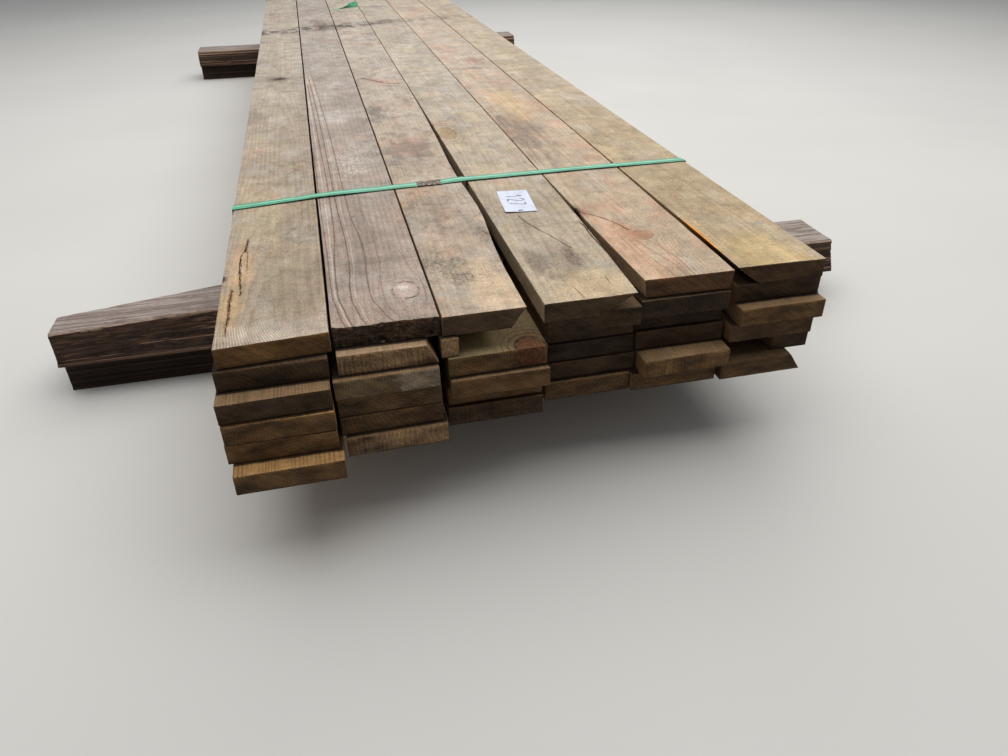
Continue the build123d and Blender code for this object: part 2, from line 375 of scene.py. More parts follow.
def growth_rings(finish, wood, seed):
    """Dark latewood lines, 0 to 1, where the log's yearly rings are cut, and how near the knots are."""
    x, nearness = drawn_to_knots(finish, wood.knots)
    wander = finish.wave((110, 1400, 110), seed, 1)
    wobble = finish.wave((14, 140, 14), seed + 3, 3)
    pith_x, pith_depth = wood.pith
    across = finish.less(x, pith_x)
    upward = finish.add(finish.z, finish.scaled(finish.y, 0.006, pith_depth))
    distance = finish.vector("LENGTH", finish.join(across, upward, 0.0))
    distance = finish.scaled(wander, 30.0, distance)
    distance = finish.scaled(wobble, 2.2, distance)
    turn = finish.math("FRACT", finish.times(distance, 1 / wood.ring))
    return finish.times(finish.step(turn, 0.3, 0.9), finish.step(turn, 1.0, 0.92)), nearness


def knot_colours(finish, colour, knots, nearness, seed):
    """Paint the knots: faint rings inside and round about, and a broken dark rim."""
    for number, (knot, distance) in enumerate(zip(knots, nearness)):
        ragged = finish.scaled(finish.wave((7, 10, 7), seed + number, 3), 0.4, distance)
        colour = finish.paint(colour, knot.inside, finish.step(ragged, 2.6, 0.9), 0.3 * knot.strength)
        halo = finish.step(finish.math("PINGPONG", finish.times(ragged, 2.3), 0.5), 0.2, 0.48)
        halo = finish.times(halo, finish.step(ragged, 3.2, 1.0))
        colour = finish.paint(colour, knot.rim, halo, knot.rings * knot.strength)
        rings = finish.math("PINGPONG", finish.times(ragged, 3.2), 0.5)
        inner = finish.paint(knot.inside, knot.rim, rings, 1.5 * knot.rings)
        colour = finish.paint(colour, inner, finish.step(ragged, 1.15, 0.7), knot.strength)
        broken = finish.step(finish.noise((12, 12, 12), seed + number + 5, 2), 0.35, 0.6)
        rim = finish.times(finish.step(ragged, 0.86, 0.98), finish.step(ragged, 1.14, 1.0))
        colour = finish.paint(colour, knot.rim, rim, broken, min(1.0, 1.1 * knot.strength))
    return colour


def patch_colours(finish, colour, patches, seed):
    """Paint broad uneven patches of tint or mould."""
    for number, patch in enumerate(patches):
        field = finish.noise((patch.size, patch.size * 1.3, patch.size), seed + 11 * number, 5, 0.65)
        share = finish.step(field, patch.level, patch.level + 0.14)
        colour = finish.paint(colour, patch.colour, share, patch.strength)
    return colour


def spot_colours(finish, colour, spots, seed):
    """Paint single spots at their own places: stained patches, and a painted highlight where a spot stands
    for one.
    """
    for number, spot in enumerate(spots):
        distance = finish.spot(spot.x, spot.y, spot.wide, spot.long, 2 * spot.ragged, seed + number)
        share = finish.times(finish.step(distance, 1.3, 0.4), spot.strength)
        if spot.speckle:
            grains = finish.step(finish.noise((7, 11, 7), seed + number + 30, 4, 0.7), 0.46, 0.6)
            share = finish.times(share, finish.scaled(grains, spot.speckle, 1 - spot.speckle))
        colour = finish.mix(share, colour, spot.colour)
    return colour


def line_colours(finish, colour, lines, seed):
    """Paint single dark growth lines, cracks and edges."""
    for number, line in enumerate(lines):
        side = finish.line_at(line.points)
        wave = finish.wave((9, 24, 9), seed + number, 4, 0.7)
        side = finish.math("ABSOLUTE", finish.scaled(wave, line.wave, side))
        side = finish.scaled(finish.wave((7, 22, 7), seed + number + 50, 3, 0.6), 1.6 * line.width, side)
        share = finish.times(finish.step(side, line.width, line.width * 0.3), line.strength)
        if line.broken:
            gaps = finish.noise((9, 13, 9), seed + number + 70, 4, 0.7)
            share = finish.times(share, finish.step(gaps, 0.4, 0.52))
        low, high = line.points[0][1], line.points[-1][1]
        share = finish.times(share, finish.step(finish.y, low - 4, low + 4))
        colour = finish.paint(colour, line.colour, share, finish.step(finish.y, high + 4, high - 4))
    return colour


def end_strokes(finish, colour, seed):
    """Fine pale strokes at the near end, where the growth lines run out, more slanting to the right."""
    wave = finish.wave((16, 30, 16), seed + 90, 3, 0.6)
    lean = finish.times(finish.x, finish.y, 0.004)
    slanted = finish.scaled(wave, 6.0, finish.add(finish.x, lean))
    stripe = finish.step(finish.math("PINGPONG", slanted, 2.6), 0.8, 2.0)
    near = finish.step(finish.scaled(wave, 130.0, finish.y), 84, 40)
    colour = finish.paint(colour, rgb(206, 195, 180), near, finish.scaled(stripe, 0.4, 0.2))
    return finish.paint(colour, rgb(146, 118, 96), near, finish.less(1.0, stripe), 0.35)


def spacer_stain(finish, colour):
    """The dark band that a cross piece of wood left right across the pack."""
    first, last = (5, 3353), (1190, 3660)
    middle = finish.scaled(finish.x, (last[1] - first[1]) / (last[0] - first[0]), first[1])
    wave = finish.wave((60, 60, 60), 5, 4, 0.6)
    away = finish.less(finish.y, finish.scaled(wave, 220.0, middle))
    share = finish.step(finish.math("ABSOLUTE", away), 130, 20)
    worn = finish.step(finish.noise((45, 70, 45), 8, 4, 0.6), 0.38, 0.6)
    faint = finish.scaled(finish.step(finish.x, 1000, 500), 0.55, 0.3)
    return finish.paint(colour, DARK_STAIN, share, worn, faint)


# Noise that makes rough-sawn wood uneven: its size, seed, detail, roughness and depth
TONE_FIELDS = {
    "streak": ((5, 420, 5), 1, 3, 0.6, 0.35),
    "fibre": ((1.1, 24, 1.1), 0, 4, 0.65, 0.6),
    "broad": ((130, 260, 130), 9, 3, 0.6, 0.7),
    "cloud": ((30, 55, 30), 2, 5, 0.7, 0.8),
    "fleck": ((4, 7, 4), 10, 3, 0.7, 0.95),
    "scratch": ((26, 1.6, 26), 4, 3, 0.6, 0.6),
    "smear": ((75, 60, 75), 16, 3, 0.6, 0.6),
}


def wood_tone(finish, seed, level):
    """Uneven brightness of rough-sawn wood, and the fields of its fibres and saw scratches."""
    fields = {
        name: finish.noise(size, seed + more, detail, rough)
        for name, (size, more, detail, rough, depth) in TONE_FIELDS.items()
    }
    tone = level
    for name, (*_, depth) in TONE_FIELDS.items():
        tone = finish.times(tone, finish.scaled(fields[name], depth, 1 - 0.5 * depth))
    return tone, fields["fibre"], fields["scratch"]


def tinted(finish, colour, seed):
    """Small patches that are a little pinker or greener than the rest."""
    hue = finish.noise((15, 26, 15), seed + 14, 4, 0.65)
    pink = finish.tint(colour, 1.08, 0.98, 0.96)
    green = finish.tint(colour, 0.98, 0.98, 0.96)
    colour = finish.mix(finish.step(hue, 0.52, 0.66), colour, pink)
    return finish.mix(finish.step(hue, 0.48, 0.34), colour, green)


def layer_seams(finish, colour, seed):
    """Painted shade along the lower edges of the ends and sides, where each plank lies on the one below,
    and a painted highlight along the upper edge of the plank below.
    """
    wave = finish.wave((18, 40, 18), seed + 18, 3, 0.6)
    turn = finish.math("FRACT", finish.times(finish.z, 1 / LAYER_PITCH))
    height = finish.scaled(wave, 0.06, turn)
    # The paler band along the upper edge of each plank is a painted highlight
    worn = finish.times(finish.step(height, 0.88, 0.94), finish.step(turn, 0.99, 0.96))
    colour = finish.paint(colour, finish.tint(colour, 1.8, 1.65, 1.5), worn, 0.5)
    # The dark band at the seam between two layers is painted shade
    darkening = finish.math("MAXIMUM", finish.step(height, 0.09, 0.02), finish.step(turn, 0.982, 0.995))
    return finish.paint(colour, rgb(24, 17, 12), darkening, 0.75)


def tucked_shade(finish, colour, above, seed):
    """Painted shadow on a plank's upper face along the end of the plank that lies on it."""
    (left_x, left_y), (right_x, right_y) = above
    slope = (right_y - left_y) / (right_x - left_x)
    edge = finish.scaled(finish.x, slope, left_y - slope * left_x)
    wave = finish.wave((14, 14, 14), seed + 22, 3, 0.6)
    away = finish.less(finish.scaled(wave, 5.0, edge), finish.y)
    # Painted shadow: a near-black band on the upward faces, just in front of and under the end of the plank
    # above
    return finish.paint(
        colour, rgb(18, 11, 7), finish.step(away, 8, 3), finish.step(finish.normal[2], 0.6, 0.9), 0.9
    )


def upper_colours(finish, wood, rings, nearness, seed):
    """A top plank's faces, with dust, mould, the spacer's stain, its knots and lines, and its spots, one a
    painted highlight.
    """
    colour = finish.paint(wood.early, wood.late, rings, wood.contrast)
    colour = finish.paint(colour, PALE_DUST, finish.step(finish.y, 300, 2600), 0.42)
    colour = patch_colours(finish, colour, wood.patches, seed + 20)
    colour = spacer_stain(finish, colour)
    colour = knot_colours(finish, colour, wood.knots, nearness, seed + 40)
    colour = spot_colours(finish, colour, wood.spots, seed + 60)
    colour = line_colours(finish, colour, wood.lines, seed + 80)
    if wood.strokes:
        colour = end_strokes(finish, colour, seed)
    specks = finish.step(finish.noise((3.2, 6, 3.2), seed + 6, 3), 0.6, 0.7)
    crowd = finish.step(finish.noise((110, 150, 110), seed + 17, 3, 0.6), 0.45, 0.62)
    return finish.paint(colour, DARK_STAIN, specks, finish.scaled(crowd, 0.6, 0.15))


def lower_colours(finish, wood, rings, nearness, seed, above):
    """A lower plank's faces, striped unevenly by its rings and shaded along the plank above."""
    uneven = finish.step(finish.noise((20, 300, 20), seed + 21, 3, 0.6), 0.38, 0.62)
    share = finish.times(rings, wood.contrast, finish.scaled(uneven, 0.9, 0.2))
    colour = knot_colours(finish, finish.mix(share, wood.early, wood.late), wood.knots, nearness, seed + 40)
    return tucked_shade(finish, colour, above, seed) if above else colour


def wood_finish(name, wood, seed, top=True, streaky=False, above=None):
    """Rough-sawn wood of one plank, with its faces, edges and end grain."""
    finish = Finish(name, roughness=0.8, shine=0.18)
    rings, nearness = growth_rings(finish, wood, seed)
    tone, fibre, scratch = wood_tone(finish, seed, 0.88 if top else 1.0)
    if top:
        colour = upper_colours(finish, wood, rings, nearness, seed)
    else:
        colour = lower_colours(finish, wood, rings, nearness, seed, above)
    colour = finish.brighten(tinted(finish, colour, seed), tone)
    # The sides of the planks get a darker, browner copy of their colour: painted shade for the sides that
    # face the gaps between the columns
    sideways = finish.step(finish.math("ABSOLUTE", finish.normal[0]), 0.4, 0.8)
    side = finish.tint(colour, 0.62, 0.56, 0.48)
    colour = finish.mix(sideways, colour, layer_seams(finish, side, seed))
    end = layer_seams(finish, end_colours(finish, wood, rings, seed, streaky), seed)
    facing = finish.step(finish.math("ABSOLUTE", finish.normal[1]), 0.35, 0.65)
    colour = finish.mix(facing, colour, end)
    grit = finish.noise((2.5, 5, 2.5), seed + 5, 3, 0.6)
    height = finish.add(finish.times(fibre, 0.9), finish.times(rings, 0.2), scratch, grit)
    if wood.torn:
        height = finish.add(height, finish.times(torn_fibres(finish, seed), facing, 8.0))
    return finish.finish(colour, height, 0.75, 0.8)


def torn_fibres(finish, seed):
    """Fibres that broke off instead of being sawn."""
    return finish.noise((8, 60, 4), seed + 19, 5, 0.75)


def heart_colours(finish, colour, heart, seed):
    """Paint the log's heart, or a knot cut across, on an end."""
    reach = finish.join(finish.less(finish.x, heart.x), finish.less(finish.z, heart.z), 0.0)
    wave = finish.wave((9, 30, 9), seed + 15, 3)
    reach = finish.scaled(wave, 0.5, finish.times(finish.vector("LENGTH", reach), 1 / heart.radius))
    ring = finish.math("PINGPONG", finish.times(reach, heart.rings), 0.5)
    tint = finish.paint(heart.pale, heart.dark, ring, 1.2)
    return finish.paint(colour, tint, finish.step(reach, 1.12, 0.9), 0.9)


def end_colours(finish, wood, rings, seed, streaky):
    """End grain: rings, dirt in clouds or in runs, torn fibres, the saw's slanting marks and the heart."""
    darkening = finish.wave((60, 60, 24), seed + 7, 5, 0.6)
    grain = finish.wave((2.4, 6, 2.4), seed + 8, 3, 0.6)
    tone = finish.times(finish.scaled(darkening, 3.0, 1.0), finish.scaled(grain, 1.5, 1.0))
    tone = finish.times(tone, finish.scaled(rings, -0.24, 1.05))
    if wood.torn:
        flecks = finish.less(torn_fibres(finish, seed), 0.5)
        tone = finish.times(tone, finish.math("MAXIMUM", finish.scaled(flecks, 6.0, 1.1), 0.15))
    if streaky:
        tone = finish.times(tone, finish.scaled(finish.wave((3, 60, 90), seed + 9, 3, 0.6), 2.0, 1.0))
    slant = finish.join(finish.add(finish.times(finish.x, 0.6), finish.times(finish.z, 0.8)), 0.0,
                        finish.add(finish.times(finish.x, -0.8), finish.times(finish.z, 0.6)))
    kerf = finish.wave((2.2, 50, 60), seed + 13, 2, 0.5, slant)
    tone = finish.times(tone, finish.scaled(kerf, 1.2, 1.0))
    warm = finish.step(finish.noise((40, 60, 30), seed + 12, 3, 0.6), 0.35, 0.65)
    red, green, blue, alpha = wood.end
    base = finish.paint(wood.end, (1.14 * red, 1.02 * green, 0.86 * blue, alpha), warm, 0.6)
    if wood.heart:
        base = heart_colours(finish, base, wood.heart, seed)
    return finish.brighten(base, tone)


def weathered_finish(name, seed, shade=1.0):
    """Old timber: silvered with fine grain on top, dark brown on its sides, partly as painted shade, ridged
    on its ledge.
    """
    finish = Finish(name, roughness=0.85, shine=0.2)
    lying = finish.normal[2]
    fibre = finish.noise((110, 1.8, 1.8), seed, 4, 0.65)
    streak = finish.noise((380, 7, 7), seed + 1, 4, 0.65)
    silver = finish.mix(finish.step(streak, 0.38, 0.62), rgb(166, 159, 156), rgb(116, 105, 102))
    silver = finish.paint(silver, rgb(198, 188, 178), finish.step(fibre, 0.5, 0.7), 0.7)
    silver = finish.paint(silver, rgb(92, 72, 66), finish.step(fibre, 0.46, 0.3), 0.7)
    brown = finish.mix(finish.step(streak, 0.35, 0.65), rgb(74, 60, 50), rgb(40, 32, 28))
    lines = finish.noise((900, 5, 5), seed + 3, 2)
    brown = finish.paint(brown, rgb(132, 104, 82), finish.step(lines, 0.54, 0.66), 0.35)
    ledge = finish.times(
        finish.step(lying, 0.2, 0.4), finish.step(finish.z, TOP_TIMBER_TOP - 10, TOP_TIMBER_TOP - 18)
    )
    brown = finish.paint(brown, rgb(30, 23, 19), ledge, 0.75)
    ridges = finish.step(finish.noise((1600, 5, 5), seed + 5, 2), 0.53, 0.59)
    brown = finish.paint(brown, rgb(150, 124, 104), ledge, ridges, 0.9)
    upper = finish.step(finish.z, TOP_TIMBER_TOP - 16, TOP_TIMBER_TOP - 8)
    colour = finish.paint(brown, silver, finish.step(lying, 0.6, 0.9), upper)
    edge = finish.times(finish.step(lying, 0.15, 0.4), finish.step(lying, 0.95, 0.75),
                        finish.step(finish.z, TOP_TIMBER_TOP - 12, TOP_TIMBER_TOP - 5))
    colour = finish.paint(colour, rgb(190, 164, 144), edge, finish.step(fibre, 0.35, 0.55), 0.7)
    speckle = finish.noise((9, 2.2, 2.2), seed + 4, 3, 0.7)
    colour = finish.paint(colour, rgb(92, 66, 56), finish.step(speckle, 0.54, 0.66), 0.6)
    blotch = finish.noise((70, 30, 30), seed + 2, 4, 0.6)
    colour = finish.paint(colour, rgb(84, 66, 54), finish.step(blotch, 0.5, 0.68), 0.45)
    # shade below 1 darkens the whole finish: painted shade for the base timbers, which lie back in shadow
    # under the top ones
    colour = finish.tint(colour, shade, shade * 0.95, shade * 0.9)
    return finish.finish(colour, finish.add(fibre, finish.times(streak, 0.8)), 0.9, 1.4)


def strap_finish(name, light=1.0):
    """Green polyester band, with a painted highlight along a line near its middle, painted shade along
    another line and along its edges, pressed ribs, scuffs and dust.
    """
    finish = Finish(name, roughness=0.42, shine=0.35)
    attribute = finish.tree.nodes.new("ShaderNodeAttribute")
    attribute.attribute_name = "across"
    place = attribute.outputs["Fac"]
    side = finish.math("ABSOLUTE", place)
    worn = finish.noise((40, 10, 10), 3, 4, 0.6)
    colour = finish.mix(finish.step(worn, 0.35, 0.7), rgb(52, 146, 110), rgb(88, 178, 142))
    # Painted highlight: a pale line along the band
    line = finish.math("ABSOLUTE", finish.less(place, 0.2))
    colour = finish.paint(colour, rgb(178, 230, 206), finish.step(line, 0.24, 0.06), 0.75)
    # Painted shade: a dark line along the band
    shade_line = finish.math("ABSOLUTE", finish.add(place, 0.3))
    colour = finish.paint(colour, rgb(30, 104, 80), finish.step(shade_line, 0.2, 0.05), 0.5)
    # Painted shade along both edges of the band
    colour = finish.paint(colour, rgb(28, 92, 70), finish.step(side, 0.66, 0.98), 0.7)
    dust = finish.noise((14, 6, 6), 9, 4, 0.7)
    colour = finish.paint(colour, rgb(156, 160, 132), finish.step(dust, 0.52, 0.7), 0.3)
    # light above 1 makes a brighter copy of the finish: painted light for the loose end, whose face gets
    # less light
    colour = finish.tint(colour, light, light, light)
    ribs = finish.math("SINE", finish.times(finish.x, 2.6))
    lanes = finish.math("SINE", finish.times(place, 22.0))
    return finish.finish(colour, finish.add(finish.times(ribs, lanes, 0.35), worn), 0.5, 0.3)


def seal_finish():
    """Crumpled steel, pale and dark in random patches that are painted highlights and painted shade in its
    folds, with dark rust and painted shade on the faces turned to the front.
    """
    finish = Finish("seal_steel", roughness=0.5, metallic=0.45)
    worn = finish.noise((9, 7, 9), 2, 4, 0.6)
    # Painted highlights and painted shade: pale and dark patches at random over the crumpled steel
    colour = finish.mix(finish.step(worn, 0.34, 0.5), rgb(186, 178, 160), rgb(80, 62, 50))
    rust = finish.noise((7, 6, 7), 6, 3, 0.6)
    colour = finish.paint(colour, rgb(78, 50, 38), finish.step(rust, 0.5, 0.6), 0.8)
    # Painted shade on the faces turned to the front
    colour = finish.mix(finish.step(finish.normal[1], -0.15, -0.6), colour, rgb(44, 32, 26))
    return finish.finish(colour, worn, 0.8, 0.8)


def staple_finish():
    """Dark wire."""
    finish = Finish("staple_wire", roughness=0.75, shine=0.1)
    worn = finish.noise((3, 3, 3), 5, 2)
    return finish.finish(finish.mix(worn, rgb(26, 24, 26), rgb(52, 46, 44)))


def paper_finish():
    """White card with faint creases and damp."""
    finish = Finish("tag_paper", roughness=0.6)
    damp = finish.noise((30, 40, 30), 4, 4, 0.6)
    colour = finish.mix(finish.step(damp, 0.4, 0.7), rgb(204, 210, 227), rgb(186, 192, 206))
    return finish.finish(colour, damp, 0.25, 0.5)


def ink_finish():
    """Faded blue-grey ink, uneven where it ran thin."""
    finish = Finish("tag_ink", roughness=0.5)
    thin = finish.noise((4, 4, 4), 7, 3, 0.6)
    return finish.finish(finish.mix(finish.step(thin, 0.4, 0.75), rgb(66, 68, 84), rgb(128, 132, 152)))


def floor_finish():
    """Plain pale floor."""
    finish = Finish("floor_pale", roughness=0.9)
    cloud = finish.noise((900, 900, 900), 6, 2)
    return finish.finish(finish.mix(cloud, rgb(208, 206, 202), rgb(198, 196, 192)))


# The open checks of the top planks: grooves given by (x, y, width, depth) along them
CRACKS = {
    1: [
        [(22, 40, 0.4, 0), (21, 58, 2, 4), (22, 70, 0.6, 2), (21, 84, 2.6, 4), (23, 104, 3, 5),
         (21, 118, 0.7, 2), (22.5, 134, 2.4, 4), (22, 158, 3, 5), (21, 172, 0.6, 2), (23, 190, 1.4, 3),
         (24, 225, 0.4, 0)],
        [(40, 190, 0.4, 0), (38, 222, 1.2, 3), (39, 245, 0.5, 2), (36, 262, 2.6, 4), (33, 285, 0.7, 2),
         (34, 305, 3, 5), (31, 330, 1, 3), (33, 352, 3.2, 5), (32, 378, 0.7, 2), (40, 402, 2.8, 5),
         (42, 440, 3, 4), (44, 470, 0.4, 0)],
    ],
    4: [
        [(712, 235, 0.5, 0), (690, 307, 1.6, 2), (660, 393, 1.6, 2), (648, 452, 0.5, 0)],
        [(781, 143, 1, 3), (777, 190, 2, 6), (775, 240, 2.5, 7), (774, 300, 2.5, 6), (776, 350, 1.5, 3),
         (772, 380, 0.5, 0)],
    ],
}
# Planks whose near end is split, with a part that stands further out
STEPPED = {"plank_c3_l2", "plank_c6_l5"}
Level = namedtuple("Level", "height left right near span far")


def plank_sides(node):
    """The plank's outline on its upper and lower faces, in the pack's places."""
    co = pack_places(node)
    levels = []
    for height in (co[:, 2].max(), co[:, 2].min()):
        level = np.unique(np.round(co[np.abs(co[:, 2] - height) < 0.05], 3), axis=0)
        span = level[:, 0].min(), level[:, 0].max()
        middle, far = sum(span) / 2, level[:, 1].max()
        if node in STEPPED:
            near = level[level[:, 1] < 2000]
            stub_on_left = near[np.argmin(near[:, 1]), 0] < middle
            order = np.lexsort((near[:, 1] if stub_on_left else -near[:, 1], near[:, 0]))
            levels.append(Level(height, None, None, near[order], span, far))
        else:
            left, right = level[level[:, 0] < middle], level[level[:, 0] >= middle]
            left, right = left[np.argsort(left[:, 1])], right[np.argsort(right[:, 1])]
            levels.append(Level(height, left, right, np.array([left[0], right[0]]), None, far))
    return levels


def side_lines(level, y):
    """The left and right sides of a level at y."""
    if level.span:
        return np.full_like(y, level.span[0]), np.full_like(y, level.span[1])
    return tuple(np.interp(y, side[:, 1], side[:, 0]) for side in (level.left, level.right))


def plank_rails(upper, cracks):
    """The (x, y, width, depth) lines that places follow, at cracks and at the steps of a split end."""
    if not upper.span:
        return [sorted(crack, key=lambda point: point[1]) for crack in cracks]
    low, high = upper.span
    steps = upper.near[:, 0]
    jumps = [x for x in np.unique(steps) if (np.abs(steps - x) < 0.01).sum() > 1 and low < x < high]
    return [[(x, 0, 0.3, 0)] for x in jumps]


def plank_columns(left, right, rails, y, columns, arris):
    """The x of each line of places along the upper face, at each y, and how deep it lies in a crack."""
    margin, rail_gap, thinnest = 1.4 * arris, 1.5, 0.15
    rail_x = [np.interp(y, [point[1] for point in rail], [point[0] for point in rail]) for rail in rails]
    order = sorted(range(len(rails)), key=lambda i: rail_x[i].mean())
    bounds = [left, *(rail_x[i] for i in order), right]
    lines = [(left + offset, 0 * y) for offset in (0, 0.5 * arris, margin)]
    for number, (low, high) in enumerate(zip(bounds, bounds[1:])):
        at_rail = number < len(rails)
        count = max(2, int(round(columns * (high.mean() - low.mean()) / (right.mean() - left.mean()))))
        low_gap = rail_gap if number else margin
        high_gap = rail_gap if at_rail else margin
        for step in range(1, count):
            lines.append((low + low_gap + step / count * (high - low - low_gap - high_gap), 0 * y))
        if at_rail:
            _, ys, widths, depths = zip(*rails[order[number]])
            half = np.maximum(np.interp(y, ys, widths, 0, 0) / 2, thinnest)
            lines += [(high - half, 0 * y), (high, np.interp(y, ys, depths, 0, 0)), (high + half, 0 * y)]
    lines += [(right - offset, 0 * y) for offset in (margin, 0.5 * arris, 0)]
    return [np.array(part) for part in zip(*lines)]


def near_ends(upper, lower, x_up, x_low, rails):
    """Where each column of places starts, on the upper and the lower face."""
    near_up = np.interp(x_up, upper.near[:, 0], upper.near[:, 1])
    near_low = np.interp(x_low, lower.near[:, 0], lower.near[:, 1])
    if upper.span:
        for ((jump, *_),) in rails:
            middle = int(np.argmin(np.abs(x_up - jump)))
            near_up[middle] = near_low[middle] = max(near_up[middle - 1], near_up[middle + 1])
    return near_up, near_low


def uneven_faces(places, seed):
    """Draw the upper and lower faces and the sides a little inward, always inside the outline."""
    swell = 0.5 + 0.5 * rough_field(places, (70, 260, 40), seed)
    fine = 0.5 + 0.5 * rough_field(places, (9, 45, 9), seed + 1)
    inward = 0.5 * swell + 0.35 * fine
    places[:, -1, :, 2] -= inward[:, -1]
    places[:, 0, :, 2] += inward[:, 0]
    sideways = 0.7 * (0.5 + 0.5 * rough_field(places, (30, 180, 60), seed + 2)) + 0.5 * fine
    places[0, :, :, 0] += sideways[0]
    places[-1, :, :, 0] -= sideways[-1]


def worn_arrises(places, far, arris, seed):
    """The places with those nearer than the radius to two faces drawn onto a quarter round."""
    radius = arris * (0.7 + 0.5 * rough_field(places * np.array([0, 1, 0]), (1, 60, 1), seed)[..., None])
    radius = np.maximum(radius, 0.4)
    x, y, z = places[..., 0], places[..., 1], places[..., 2]
    low = np.stack(np.broadcast_arrays(x[:1], y[:, :, :1], z[:, :1]), axis=-1)
    high = np.stack(np.broadcast_arrays(x[-1:], far, z[:, -1:]), axis=-1)
    core = np.clip(places, low + radius, high - radius)
    reach = places - core
    size = np.linalg.norm(reach, axis=-1, keepdims=True)
    return core + reach / np.maximum(size, 1e-6) * np.minimum(size, radius)


def near_end_relief(places, y, ragged, seed):
    """How far back the places lie at the near end, where its fibres are torn and chipped."""
    fibres = layered_field(places, (6, 1e6, 6), seed)
    chips = np.maximum(rough_field(places, (22, 1e6, 16), seed + 1) - 0.35, 0)
    depth = ragged * (0.5 + 0.5 * fibres) + max(ragged - 1, 0) * 3 * chips
    fade = np.clip(1 - (y - y[:, :, :1]) / (6 + 4 * ragged), 0, 1)
    return np.clip(depth, 0, None) * fade


def plank_mesh(node, material, columns, rows, first, growth, seed, cracks=(), ragged=0.8, arris=1.6):
    """A plank: a block of places drawn to its outline, with cracks, worn arrises and a rough near end."""
    upper, lower = plank_sides(node)
    far, thick = upper.far, upper.height - lower.height
    start = upper.near[:, 1].min()
    along = spaced(far - start, first, growth, (0.5 * arris, 1.6 * arris, 4.0))
    fine = np.array([0, 0.5 * arris, 1.4 * arris])
    up = np.concatenate([fine, np.linspace(0, thick, rows)[1:-1], thick - fine])
    up = (np.unique(np.round(up, 3)) / thick)[None, :, None]

    left_up, right_up = side_lines(upper, start + along)
    left_low, right_low = side_lines(lower, start + along)
    rails = plank_rails(upper, cracks)
    x_up, drop = plank_columns(left_up, right_up, rails, start + along, columns, arris)
    share_across = (x_up - left_up) / (right_up - left_up)
    x_low = left_low + share_across * (right_low - left_low)
    near_up, near_low = near_ends(upper, lower, x_up[:, 0], x_low[:, 0], rails)

    x = x_low[:, None, :] + up * (x_up - x_low)[:, None, :]
    near_y = (near_low[:, None] + up[:, :, 0] * (near_up - near_low)[:, None])[:, :, None]
    y = near_y + (far - near_y) * (along / (far - start))
    z = lower.height + up * thick - drop[:, None, :] * up ** 6
    places = np.stack([x, y, z], axis=-1)
    uneven_faces(places, seed)
    places = worn_arrises(places, far, arris, seed + 3)
    places[..., 1] += near_end_relief(places, y, ragged, seed + 4)

    outside, faces = block_faces(*x.shape)
    make_piece(node + "_wood", places[outside], faces, material, 35, "plank_wood", node)


def top_patches(mould, level, *more):
    """Tints that all the upper planks share, and this one's own."""
    return [
        Patch(PALE_DUST, 95, 0.5, 0.35),
        Patch(PINK_TINT, 120, 0.56, 0.3),
        *more,
        Patch(mould, 34, level, 0.5),
        Patch(DARK_STAIN, 11, 0.6, 0.45),
    ]


def stains_and_highlights(*rows):
    """Spots from rows of red, green, blue, x, y, wide, long, strength, ragged and speckle."""
    return [Spot(rgb(*row[:3]), *row[3:]) for row in rows]


